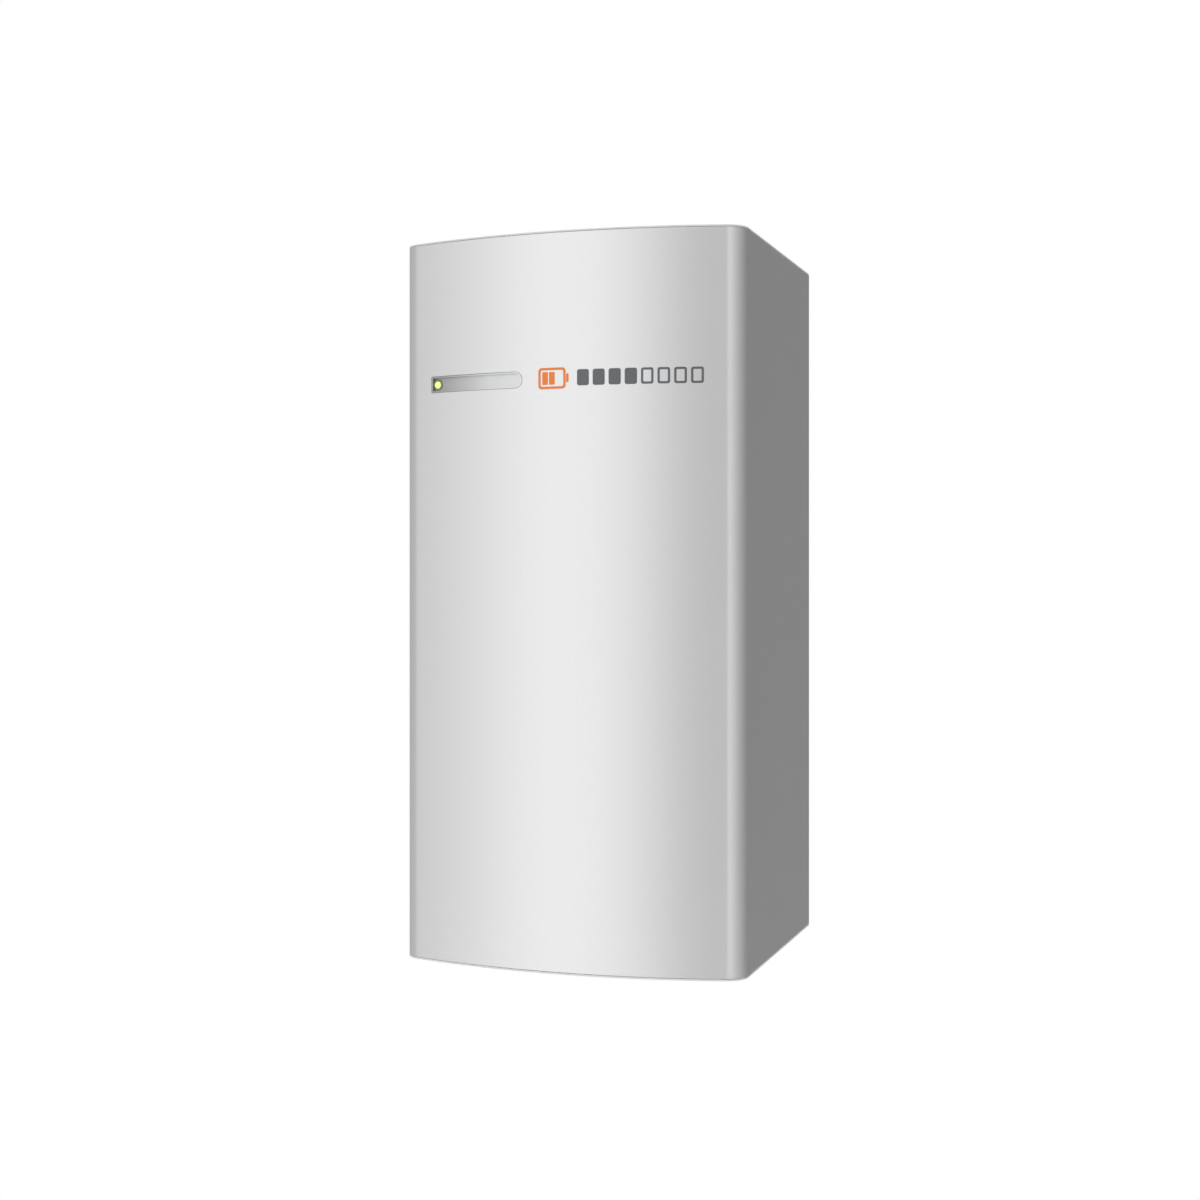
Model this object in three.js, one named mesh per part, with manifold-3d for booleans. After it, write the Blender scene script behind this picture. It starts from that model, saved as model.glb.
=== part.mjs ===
// Wall-hung home battery, built from its separate pieces.
// Millimetres: +X to the right, +Y into the wall, +Z up.
// The origin is the centre of the wall bracket's face on the wall, level with the unit's mid-height.
import * as THREE from "three";
import { mergeVertices } from "three/addons/utils/BufferGeometryUtils.js";
import Module from "manifold-3d";

const wasm = await Module();
wasm.setup();

// ---------------------------------------------------------------- driving dimensions
const unit = { width: 326, height: 664, depth: 320, crown: 25.6, cornerRadius: 22 };
const standOff = 22; // wall to the cover's rear edge
const touch = 0.3; // gap left between two pieces that touch
const running = 0.4; // radial gap of a pin in its knuckle
const coverWall = 2.5;
const coverLip = 5; // rear return flange of the cover's sides
const capRim = 2; // visible edge of each end cap
const capSkirt = { thickness: 2, height: 12, endsBeforeBack: 5 };
const beyond = 1; // how far a cutting tool runs past the face that it opens
const bite = 0.5; // how far a joined part reaches into the one that it grows from
const vent = { slots: 15, width: 6, pitch: 14, length: 62, behindFront: 34 };
const cableBay = { width: 190, depth: 93 }; // opening in the bottom cap for the conduits
const indicator = { fromSide: 31.6, length: 95.5, height: 15, fromTop: 132, depth: 3.5, wall: 1.2 };
const trayFlange = 5; // the tray's rim behind the skin, past the window
const lens = { radius: 3.6, fromEnd: 7, proud: 1.5, collar: 6, collarWidth: 4, gapToLamp: 6 };
const panel = { thickness: 2, flange: 38, sideGap: 10, endGap: 14, proud: 2 };
const edgeSeal = { thickness: 1.8, depth: 10, endGap: 18, aheadOfPanel: 8 };
const bracket = { width: 240, height: 250, thickness: 3, ledge: 12, lip: 18 };
const lowerHook = { reach: 16, width: 34, height: 30, studBelowTop: 10 };
const lagSlot = { width: 9, length: 30, inX: 80, inZ: 85 };
const rail = { width: 200, thickness: 3, hookGap: 1.5, overLip: 7, flange: 22 };
const stud = { neck: 3.5, head: 8, headThickness: 4, base: 1.5, inX: 85, play: 0.5, below: 4.5 };
const bumper = { radius: 12, inX: 110, fromBottom: 42, offWall: 0.5 };
const tub = { wall: 2.5, depth: 150, sideGap: 13, belowTop: 54 };
const packLid = { thickness: 3.7, gasket: 2, gasketWidth: 7, ribHeight: 1.5 };
const cells = { perModule: 7, depth: 118, filler: 0.8, groove: 0.6, endPlate: 6, strap: 1.5 };
const stackGap = { end: 4, side: 1 };
const clampSetBack = 12; // the clamp stops short of the cells' front and back
const terminalPad = { width: 16, height: 10, rise: 3, inset: 24 };
const busbar = { thickness: 2, tray: 2, width: 22, trayInset: 6, trayEndGap: 4 };
const circuit = { thickness: 1.6, stand: 14, standRadius: 3, margin: 8, standInset: 5 };
const relay = { width: 24, height: 22, depth: 9, inset: 8 };
const processor = { side: 24, depth: 3, aside: 2 };
const header = { width: 26, height: 14, depth: 12, inset: 8 };
const coil = { radius: 5, depth: 14, pitch: 13, inset: 14, rise: 18 };
const contactorBox = { width: 48, height: 40, depth: 44, foot: 8, footHeight: 24, footThickness: 3 };
const contactorPost = { radius: 4, rise: 10, apart: 24 };
const fuseBarrel = { radius: 11, length: 44, axis: 26 };
const fuseBlade = { length: 76, width: 16, thickness: 3 };
const fuseBase = { length: 88, width: 24, thickness: 6, post: 5, apart: 66 };
const levelInPack = { board: 1.5, contactor: 0.62, fuse: 0.22 }; // in halves of a module's height
const inverter = { depth: 27, fin: 6, finWidth: 3, finCount: 9, channel: 40, sideMargin: 8, corner: 8 };
const finMargin = 14; // from the casting's edges to its fins
const inverterEar = { width: 34, reach: 9, thickness: 3, gap: 1, belowBoxes: 4 };
const plugPort = { radius: 6, reach: 8, dcRise: 45, acRise: -45, offCarrier: 13 };
const carrier = { thickness: 2.5, standOff: 4, margin: 8, aboveTub: 8 };
const carrierFoot = { side: 16, inset: 24, rise: 20 };
const coverPin = { radius: 4.5, play: 1.5, fromSide: 45, past: 8 };
const frameBar = { thickness: 2, height: 16, aheadOfFins: 14, sideGap: 17, inset: 7, foot: 16 };
const dcSwitch = { width: 76, height: 56, depth: 46, fromSide: 14, belowTop: 50, plateMargin: 5, plate: 4 };
const switchCollar = { margin: 4, height: 3, socket: 10 };
const knob = { radius: 24, disc: 8, gripWidth: 11, gripHeight: 14, gripInset: 2, spindle: 6 };
const spindleLength = 9;
const radioBox = { width: 112, height: 66, depth: 54, wall: 2, fromSide: 15, aboveLens: 21 };
const radioPlate = { thickness: 1.6, behindFront: 16, sideGap: 6, endGap: 5, stand: 3 };
const lamp = { radius: 2.5, length: 12 };
const antenna = { left: 10, right: 38, low: -10, high: 14, depth: 6 };
const breather = { radius: 12, height: 7 };
const handle = { radius: 4.5, inX: 90, rise: 30, span: 96, corner: 12, foot: 9, footHeight: 2.5 };
const wiring = { height: 116, depth: 128, wall: 2.5, gapBelowTub: 24, aboveBottom: 16 };
const door = { thickness: 2.5, topGap: 2, sideGap: 1, panelRise: 1.5, panelInset: 14 };
const hinge = { knuckle: 3.4, pin: 1.5, aboveFloor: 7, leaf: 30, fromSide: 20, underPin: 1.5 };
const block = { width: 84, height: 34, depth: 46, poles: 3, aboveFloor: 78 };
const blockFoot = { reach: 8, height: 18, thickness: 3 };
const blockEntry = { side: 6, depth: 14, behindFront: 16 };
const lever = { width: 15, length: 24, thickness: 4, pivot: 2.2, head: 1.5, belowTop: 6, offBlock: 1 };
const leverEar = { thickness: 3, ahead: 3.5, half: 4 };
const leverLip = { rise: 1.5, height: 3 };
const groundBar = { width: 52, height: 14, depth: 9, stand: 14, besideBlock: 12 };
const groundLeg = { inset: 5, half: 4, halfHeight: 5 };
const groundHole = { count: 5, radius: 2.6, endGap: 8, floor: 3 };
const hub = { bore: 10, neck: 12.7, play: 0.5, outer: 17, flange: 20, flangeThickness: 3, pitch: 60 };
const conduit = { fromWall: 75, neckRise: 8, aboveCap: 1 };
const plug = { drop: 5, flange: 18 };
const cable = { trunk: 4.5, branch: 3, lead: 4, signal: 2.5, sides: 8, passing: 1.3 };
const junctionBox = { wall: 2, half: 9 };

// ---------------------------------------------------------------- places that follow from them
const halfWidth = unit.width / 2;
const halfHeight = unit.height / 2;
const shellTop = halfHeight - capRim;
const coverBack = -standOff;
const crownY = -unit.depth;
const frontRadius = (halfWidth ** 2 + unit.crown ** 2) / (2 * unit.crown);
const frontCentreY = crownY + frontRadius;
const cornerX = halfWidth - unit.cornerRadius;
const cornerY = frontCentreY - Math.sqrt((frontRadius - unit.cornerRadius) ** 2 - cornerX ** 2);
const cornerAngle = Math.atan2(cornerX, frontCentreY - cornerY);
const panelHalf = halfWidth - panel.sideGap;
const panelBack = coverBack + panel.proud;
const panelFront = panelBack - panel.thickness;
const tubHalf = halfWidth - tub.sideGap;
const tubTop = halfHeight - tub.belowTop;
const wiringBottom = -halfHeight + wiring.aboveBottom;
const wiringTop = wiringBottom + wiring.height;
const tubBottom = wiringTop + wiring.gapBelowTub;
const tubHeight = tubTop - tubBottom;
const tubBack = panelFront - touch;
const tubFront = tubBack - tub.depth;
const gasketFront = tubFront - touch - packLid.gasket;
const lidFront = gasketFront - touch - packLid.thickness;
const carrierBack = lidFront - touch - carrier.standOff;
const carrierFront = carrierBack - carrier.thickness;
const inverterBack = carrierFront - touch;
const inverterWidth = tubHalf - inverter.channel / 2 - inverter.sideMargin;
const inverterX = (inverter.channel + inverterWidth) / 2;
const wiringFront = tubBack - wiring.depth;
const doorFront = wiringFront - touch - door.thickness;
const hingeY = doorFront - touch - hinge.knuckle;
const hingeZ = wiringBottom + hinge.aboveFloor;
const hingeHalf = tubHalf - hinge.fromSide - hinge.leaf; // half the door's own barrel
const indicatorLeft = -halfWidth + indicator.fromSide;
const indicatorZ = halfHeight - indicator.fromTop;
const lensX = indicatorLeft + lens.fromEnd;

// Where the cover's skin lies at x, measured in from its outer face.
const skinY = (x, inward) => frontCentreY - Math.sqrt((frontRadius - inward) ** 2 - x ** 2);

const pinX = halfWidth - coverPin.fromSide;
const frameY = inverterBack - inverter.depth - inverter.fin - frameBar.aheadOfFins;
const frameLevels = [tubTop - frameBar.inset, tubBottom + frameBar.inset];
const switchX = tubHalf - dcSwitch.fromSide - dcSwitch.width / 2;
const switchLeft = switchX - dcSwitch.width / 2;
const switchZ = tubTop - dcSwitch.belowTop;
const switchBottom = switchZ - dcSwitch.height / 2;
const radioX = -tubHalf + radioBox.fromSide + radioBox.width / 2;
const radioRight = radioX + radioBox.width / 2;
const radioZ = indicatorZ + radioBox.aboveLens;
const lowestBox = Math.min(radioZ - radioBox.height / 2, switchBottom - dcSwitch.plateMargin);
const inverterTop = lowestBox - inverterEar.belowBoxes;
const inverterPitch = (inverterTop - tubBottom) / 2;
const inverterHeight = inverterPitch - 2 * (inverterEar.reach + inverterEar.gap);

// ---------------------------------------------------------------- solids and meshes
function toSolid(geometry) {
  const bare = geometry.index ? geometry.toNonIndexed() : geometry.clone();
  bare.deleteAttribute("normal");
  bare.deleteAttribute("uv");
  const merged = mergeVertices(bare, 1e-4);
  const vertProperties = merged.attributes.position.array;
  const triVerts = new Uint32Array(merged.index.array);
  return new wasm.Manifold(new wasm.Mesh({ numProp: 3, vertProperties, triVerts }));
}

function toGeometry(shape) {
  const mesh = shape.getMesh();
  const geometry = new THREE.BufferGeometry();
  geometry.setAttribute("position", new THREE.BufferAttribute(mesh.vertProperties, 3));
  geometry.setIndex(new THREE.BufferAttribute(mesh.triVerts, 1));
  geometry.computeVertexNormals();
  return geometry;
}

// A box between two limits along each axis.
function slab([x0, x1], [y0, y1], [z0, z1]) {
  const box = new THREE.BoxGeometry(Math.abs(x1 - x0), Math.abs(y1 - y0), Math.abs(z1 - z0));
  box.translate((x0 + x1) / 2, (y0 + y1) / 2, (z0 + z1) / 2);
  return toSolid(box);
}

// A round bar along an axis, from one place to another on it; centre holds the other two coordinates.
function bar(axis, radius, [from, to], centre, sides = 20) {
  const cylinder = new THREE.CylinderGeometry(radius, radius, Math.abs(to - from), sides);
  const middle = (from + to) / 2;
  if (axis === "x") cylinder.rotateZ(-Math.PI / 2).translate(middle, centre[0], centre[1]);
  if (axis === "y") cylinder.translate(centre[0], middle, centre[1]);
  if (axis === "z") cylinder.rotateX(Math.PI / 2).translate(centre[0], centre[1], middle);
  return toSolid(cylinder);
}

// An outline in X and Y raised along Z.
function raise(outline, [z0, z1], curveSegments = 6) {
  const settings = { depth: z1 - z0, bevelEnabled: false, curveSegments };
  return toSolid(new THREE.ExtrudeGeometry(outline, settings).translate(0, 0, z0));
}

// An outline in X and Z run along Y.
function runAlongY(outline, [y0, y1], curveSegments = 6) {
  const settings = { depth: y1 - y0, bevelEnabled: false, curveSegments };
  return toSolid(new THREE.ExtrudeGeometry(outline, settings).rotateX(Math.PI / 2).translate(0, y1, 0));
}

// An outline in Y and Z run along X.
function runAlongX(points, [x0, x1]) {
  const outline = new THREE.Shape(points.map(([y, z]) => new THREE.Vector2(y, z)));
  const geometry = new THREE.ExtrudeGeometry(outline, { depth: x1 - x0, bevelEnabled: false });
  const yzToWorld = new THREE.Matrix4().set(0, 0, 1, x0, 1, 0, 0, 0, 0, 1, 0, 0, 0, 0, 0, 1);
  return toSolid(geometry.applyMatrix4(yzToWorld));
}

function circle(radius, sides) {
  const turn = (i) => (2 * Math.PI * i) / sides;
  const at = (_, i) => new THREE.Vector2(radius * Math.cos(turn(i)), radius * Math.sin(turn(i)));
  return new THREE.Shape(Array.from({ length: sides }, at));
}

// A round cable through the given points.
function tube(points, radius, steps, sides = cable.sides) {
  const path = new THREE.CatmullRomCurve3(points.map((p) => new THREE.Vector3(...p)), false, "centripetal");
  return toSolid(new THREE.ExtrudeGeometry(circle(radius, sides), { extrudePath: path, steps }));
}

const joined = (solids) => solids.reduce((whole, next) => whole.add(next));
const cut = (whole, tools) => tools.reduce((left, tool) => left.subtract(tool), whole);
const spread = (count, pitch) => Array.from({ length: count }, (_, i) => (i - (count - 1) / 2) * pitch);

const finish = (color, roughness, metalness = 0, extra = {}) =>
  new THREE.MeshStandardMaterial({ color, roughness, metalness, ...extra });

const materials = {
  coverPaint: finish(0xd4d5d6, 0.38, 0.25),
  capPlastic: finish(0xa9abad, 0.5),
  trayPlastic: finish(0xb0b2b3, 0.42),
  lensPlastic: finish(0xe8f08a, 0.2, 0, { emissive: 0xaab04a }),
  chassisSteel: finish(0xb9bcbf, 0.45, 0.8),
  darkSteel: finish(0x4a4d50, 0.5, 0.6),
  castAluminium: finish(0x9fa2a5, 0.5, 0.8),
  inverterCase: finish(0x3b3d40, 0.55, 0.4),
  blackPlastic: finish(0x1c1d1f, 0.5),
  greyPlastic: finish(0x8d9093, 0.5),
  rubber: finish(0x222222, 0.85),
  cellWrap: finish(0x2f5f9e, 0.45),
  copper: finish(0xb87333, 0.35, 0.9),
  board: finish(0x1f5c38, 0.5),
  orangePlastic: finish(0xe07020, 0.45),
  redCable: finish(0xb52020, 0.5),
  brass: finish(0xc8a650, 0.35, 0.9),
};

function piece(name, shape, material, position = [0, 0, 0]) {
  const mesh = new THREE.Mesh(shape.isBufferGeometry ? shape : toGeometry(shape), materials[material]);
  mesh.name = name;
  mesh.position.set(...position);
  return mesh;
}

function assembly(...pieces) {
  const group = new THREE.Group();
  group.add(...pieces);
  return group;
}

// ---------------------------------------------------------------- cover
// Plan of the cover, drawn in from its outer face: crowned front, round corners, straight sides.
function coverPlan(inward, back = coverBack) {
  const side = halfWidth - inward;
  const radius = unit.cornerRadius - inward;
  const down = (3 * Math.PI) / 2;
  const plan = new THREE.Shape();
  plan.moveTo(-side, back);
  plan.lineTo(-side, cornerY);
  plan.absarc(-cornerX, cornerY, radius, Math.PI, down - cornerAngle, false);
  plan.absarc(0, frontCentreY, frontRadius - inward, down - cornerAngle, down + cornerAngle, false);
  plan.absarc(cornerX, cornerY, radius, down + cornerAngle, 2 * Math.PI, false);
  plan.lineTo(side, back);
  return plan;
}

const coverSolid = (inward, levels, back) => raise(coverPlan(inward, back), levels);

// The layer of the cover between two depths, between two levels.
function coverLayer(outer, inner, [low, high]) {
  const core = coverSolid(inner, [low - beyond, high + beyond], coverBack + beyond);
  return coverSolid(outer, [low, high]).subtract(core);
}

// The indicator's window: square on its left, round on its right, grown or shrunk all round.
function indicatorPrism(grow) {
  const half = indicator.height / 2 + grow;
  const left = indicatorLeft - grow;
  const right = indicatorLeft + indicator.length - indicator.height / 2;
  const outline = new THREE.Shape();
  outline.moveTo(left, indicatorZ - half);
  outline.lineTo(right, indicatorZ - half);
  outline.absarc(right, indicatorZ, half, -Math.PI / 2, Math.PI / 2, false);
  outline.lineTo(left, indicatorZ + half);
  return runAlongY(outline, [crownY - 10, cornerY - coverWall], 8);
}

const pinPlaces = [-pinX, pinX].flatMap((x) => frameLevels.map((z) => [x, z]));

function coverShell() {
  const tall = [-shellTop, shellTop];
  const through = [-shellTop - beyond, shellTop + beyond];
  const inside = coverSolid(coverWall, through, coverBack - coverWall);
  const mouthHalf = halfWidth - coverWall - coverLip;
  const mouth = slab([-mouthHalf, mouthHalf], [coverBack - 2 * coverWall, coverBack + beyond], through);
  const skin = cut(coverSolid(0, tall), [inside, mouth, indicatorPrism(0)]);
  const pins = pinPlaces.map(([x, z]) =>
    bar("y", coverPin.radius, [skinY(x, coverWall / 2), frameY + coverPin.past], [x, z], 14),
  );
  return joined([skin, ...pins]);
}

function endCap(extraCuts) {
  const plate = coverSolid(0, [shellTop + touch, halfHeight]);
  const outer = coverWall + touch;
  const skirtLevels = [shellTop - capSkirt.height, shellTop + touch + bite];
  const skirtRing = coverLayer(outer, outer + capSkirt.thickness, skirtLevels);
  const skirtBack = coverBack - capSkirt.endsBeforeBack;
  const clip = slab([-halfWidth, halfWidth], [crownY, skirtBack], [-halfHeight, halfHeight]);
  const through = [shellTop - beyond, halfHeight + beyond];
  const slots = spread(vent.slots, vent.pitch).map((x) => {
    const front = skinY(x, vent.behindFront);
    return slab([x - vent.width / 2, x + vent.width / 2], [front, front + vent.length], through);
  });
  return cut(joined([plate, skirtRing.intersect(clip)]), [...slots, ...extraCuts]);
}

function bottomCap() {
  const bay = slab(
    [-cableBay.width / 2, cableBay.width / 2],
    [coverBack + beyond, coverBack - cableBay.depth],
    [shellTop - beyond, halfHeight + beyond],
  );
  return endCap([bay]).mirror([0, 0, 1]);
}

function indicatorTray() {
  const levels = [indicatorZ - indicator.height, indicatorZ + indicator.height];
  const flangeOuter = coverWall + touch;
  const floor = indicator.depth + indicator.wall;
  const flange = indicatorPrism(trayFlange).intersect(coverLayer(flangeOuter, floor, levels));
  const cup = indicatorPrism(-touch).intersect(coverLayer(touch, floor, levels));
  const aboveFloor = coverLayer(-beyond, indicator.depth, levels);
  const hollow = indicatorPrism(-touch - indicator.wall).intersect(aboveFloor);
  const lensHole = bar("y", lens.radius + touch, [crownY, cornerY + coverWall], [lensX, indicatorZ], 18);
  return cut(joined([flange, cup]), [hollow, lensHole]);
}

const lensFront = skinY(lensX, indicator.depth) - lens.proud;
const pipeBack = lidFront - touch - radioBox.depth - lens.gapToLamp;

function lightPipe() {
  const at = [lensX, indicatorZ];
  const behindTray = skinY(lensX, indicator.depth + indicator.wall) + 2;
  const stem = bar("y", lens.radius, [lensFront, pipeBack], at, 18);
  return stem.add(bar("y", lens.collar, [behindTray, behindTray + lens.collarWidth], at, 18));
}

const cover = assembly(
  piece("cover_shell", coverShell(), "coverPaint"),
  piece("cover_top_cap", endCap([]), "capPlastic"),
  piece("cover_bottom_cap", bottomCap(), "capPlastic"),
  piece("indicator_tray", indicatorTray(), "trayPlastic"),
  piece("light_pipe", lightPipe(), "lensPlastic"),
);

// ---------------------------------------------------------------- wall bracket and hanging parts
const bracketTop = bracket.height / 2;
const lipTop = bracketTop + bracket.lip;
const lipBack = -bracket.ledge + bracket.thickness;
const railLip = [lipBack + rail.hookGap, lipBack + rail.hookGap + rail.thickness];
const railTop = lipTop + rail.overLip;
const tabTop = -bracketTop + lowerHook.height;
const studZ = tabTop - lowerHook.studBelowTop;

function slotHole(x, z) {
  const half = lagSlot.length / 2 - lagSlot.width / 2;
  const depth = [-bracket.thickness - beyond, beyond];
  const ends = [-half, half].map((dx) => bar("y", lagSlot.width / 2, depth, [x + dx, z], 16));
  return joined([...ends, slab([x - half, x + half], depth, [z - lagSlot.width / 2, z + lagSlot.width / 2])]);
}

function lowerTab(x) {
  const { reach, width } = lowerHook;
  const span = [x - width / 2, x + width / 2];
  const shelf = slab(span, [-bracket.thickness / 2, -reach], [-bracketTop, -bracketTop + bracket.thickness]);
  const upright = slab(span, [-reach + bracket.thickness, -reach], [-bracketTop, tabTop]);
  const slotHalf = stud.neck + stud.play;
  const slotLevels = [studZ - slotHalf - stud.below, tabTop + beyond];
  const slot = slab([x - slotHalf, x + slotHalf], [-reach - beyond, -bracket.thickness - beyond], slotLevels);
  return shelf.add(upright).subtract(slot);
}

function wallBracket() {
  const wide = [-bracket.width / 2, bracket.width / 2];
  const plate = slab(wide, [-bracket.thickness, 0], [-bracketTop, bracketTop]);
  const ledgeBottom = bracketTop - bracket.thickness;
  const ledge = slab(wide, [-bracket.ledge, -bracket.thickness / 2], [ledgeBottom, bracketTop]);
  const lip = slab(wide, [-bracket.ledge, lipBack], [ledgeBottom, lipTop]);
  const tabs = [-stud.inX, stud.inX].map(lowerTab);
  const slots = [-1, 1].flatMap((i) => [-1, 1].map((k) => slotHole(i * lagSlot.inX, k * lagSlot.inZ)));
  return cut(joined([plate, ledge, lip, ...tabs]), slots);
}

function hangRail() {
  const flangeBack = panelBack + touch + rail.thickness;
  const [lipFront, lipRear] = railLip;
  const webBottom = railTop - rail.thickness;
  return runAlongX(
    [
      [lipFront, bracketTop + touch],
      [lipRear, bracketTop + touch],
      [lipRear, railTop],
      [flangeBack, railTop],
      [flangeBack, railTop + rail.flange],
      [flangeBack - rail.thickness, railTop + rail.flange],
      [flangeBack - rail.thickness, webBottom],
      [lipFront, webBottom],
    ],
    [-rail.width / 2, rail.width / 2],
  );
}

function lowerStud() {
  const neckEnd = -lowerHook.reach + bracket.thickness + 2;
  const neck = bar("y", stud.neck, [panelBack + touch, neckEnd + bite], [0, 0], 14);
  const base = bar("y", stud.head, [panelBack + touch, panelBack + touch + stud.base], [0, 0], 18);
  const head = bar("y", stud.head, [neckEnd, neckEnd + stud.headThickness], [0, 0], 18);
  return joined([neck, base, head]);
}

function backPanel() {
  const tall = [-halfHeight + panel.endGap, halfHeight - panel.endGap];
  const sheet = slab([-panelHalf, panelHalf], [panelFront, panelBack], tall);
  const deep = [panelFront - panel.flange, panelBack - bite];
  const flanges = [-1, 1].map((side) =>
    slab([side * (panelHalf - panel.thickness), side * panelHalf], deep, tall),
  );
  return joined([sheet, ...flanges]);
}

const wallBumper = () => bar("y", bumper.radius, [panelBack + touch, -bumper.offWall], [0, 0], 20);
const sealBack = panelFront - edgeSeal.aheadOfPanel;

const edgeSealStrip = () =>
  slab(
    [0, edgeSeal.thickness],
    [sealBack - edgeSeal.depth, sealBack],
    [-shellTop + edgeSeal.endGap, shellTop - edgeSeal.endGap],
  );

const sealX = panelHalf + touch;
const hanging = assembly(
  piece("wall_bracket", wallBracket(), "chassisSteel"),
  piece("back_panel", backPanel(), "chassisSteel"),
  piece("hang_rail", hangRail(), "chassisSteel"),
  piece("lower_stud_left", lowerStud(), "darkSteel", [-stud.inX, 0, studZ]),
  piece("lower_stud_right", lowerStud(), "darkSteel", [stud.inX, 0, studZ]),
  piece("wall_bumper_left", wallBumper(), "rubber", [-bumper.inX, 0, -halfHeight + bumper.fromBottom]),
  piece("wall_bumper_right", wallBumper(), "rubber", [bumper.inX, 0, -halfHeight + bumper.fromBottom]),
  piece("edge_seal_left", edgeSealStrip(), "rubber", [-sealX - edgeSeal.thickness, 0, 0]),
  piece("edge_seal_right", edgeSealStrip(), "rubber", [sealX, 0, 0]),
);

// ---------------------------------------------------------------- battery pack
const tubInside = { x: tubHalf - tub.wall, z: tubHeight / 2 - tub.wall, back: tubBack - tub.wall };
const bayBack = tubInside.back - touch; // what stands on the tub's floor starts here
const tubMiddle = (tubTop + tubBottom) / 2;
const moduleX = tubInside.x / 2;
const moduleZ = tubInside.z / 2;
const cellHalfX = moduleX - cells.strap - 2 * touch - stackGap.side;
const cellPitch = (2 * (moduleZ - cells.endPlate - stackGap.end)) / cells.perModule;
const stackHalf = (cellPitch * cells.perModule) / 2;
const cellFront = bayBack - cells.depth;

function packTub() {
  const outside = slab([-tubHalf, tubHalf], [tubFront, tubBack], [-tubHeight / 2, tubHeight / 2]);
  const deep = [tubFront - beyond, tubInside.back];
  return outside.subtract(slab([-tubInside.x, tubInside.x], deep, [-tubInside.z, tubInside.z]));
}

// A flat frame that follows the tub's rim, between two depths.
function rimFrame(width, [front, back]) {
  const outside = slab([-tubHalf, tubHalf], [front, back], [-tubHeight / 2, tubHeight / 2]);
  const open = { x: tubHalf - width, z: tubHeight / 2 - width };
  return outside.subtract(slab([-open.x, open.x], [front - beyond, back + beyond], [-open.z, open.z]));
}

const packGasket = () => rimFrame(packLid.gasketWidth, [gasketFront, tubFront - touch]);

function packLidPlate() {
  const span = { x: tubHalf, z: tubHeight / 2 };
  const ground = lidFront + packLid.ribHeight;
  const plate = slab([-span.x, span.x], [ground, gasketFront - touch], [-span.z, span.z]);
  return plate.add(rimFrame(2 * packLid.gasketWidth, [lidFront, ground + bite]));
}

// Seven cells bonded into a stack, with a groove at each joint and two terminal pads on each cell.
function cellBlock() {
  const canHalf = (cellPitch - cells.filler) / 2;
  const core = slab(
    [-cellHalfX + cells.groove, cellHalfX - cells.groove],
    [cellFront + cells.groove, bayBack - cells.groove],
    [-stackHalf + cellPitch / 2, stackHalf - cellPitch / 2],
  );
  const parts = spread(cells.perModule, cellPitch).flatMap((z) => {
    const can = slab([-cellHalfX, cellHalfX], [cellFront, bayBack], [z - canHalf, z + canHalf]);
    const half = { x: terminalPad.width / 2, z: terminalPad.height / 2 };
    const deep = [cellFront - terminalPad.rise, cellFront + bite];
    const pads = [-1, 1].map((side) => {
      const x = side * (cellHalfX - terminalPad.inset);
      return slab([x - half.x, x + half.x], deep, [z - half.z, z + half.z]);
    });
    return [can, ...pads];
  });
  return joined([core, ...parts]);
}

// Two end plates and two side straps, welded into one ring that clamps a stack.
function clampFrame() {
  const inside = { x: cellHalfX + touch, z: stackHalf + touch };
  const [front, back] = [cellFront + clampSetBack, bayBack - clampSetBack];
  const outside = slab(
    [-inside.x - cells.strap, inside.x + cells.strap],
    [front, back],
    [-inside.z - cells.endPlate, inside.z + cells.endPlate],
  );
  const through = [front - beyond, back + beyond];
  return outside.subtract(slab([-inside.x, inside.x], through, [-inside.z, inside.z]));
}

// A carrier plate with the bars that link the cells in series.
function busbarTray() {
  const back = cellFront - terminalPad.rise - touch;
  const front = back - busbar.tray;
  const plateHalf = { x: cellHalfX - busbar.trayInset, z: stackHalf - busbar.trayEndGap };
  const plate = slab([-plateHalf.x, plateHalf.x], [front, back], [-plateHalf.z, plateHalf.z]);
  const barHalf = busbar.width / 2;
  const barDepth = [front - busbar.thickness, front + bite];
  const links = [-1, 1].flatMap((side) => {
    const x = side * (cellHalfX - terminalPad.inset);
    const first = side < 0 ? 0 : 1;
    return Array.from({ length: (cells.perModule - first) >> 1 }, (_, i) => {
      const z = -stackHalf + cellPitch * (first + 2 * i + 1);
      const reach = cellPitch / 2 + terminalPad.height / 2;
      return slab([x - barHalf, x + barHalf], barDepth, [z - reach, z + reach]);
    });
  });
  return joined([plate, ...links]);
}

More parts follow.
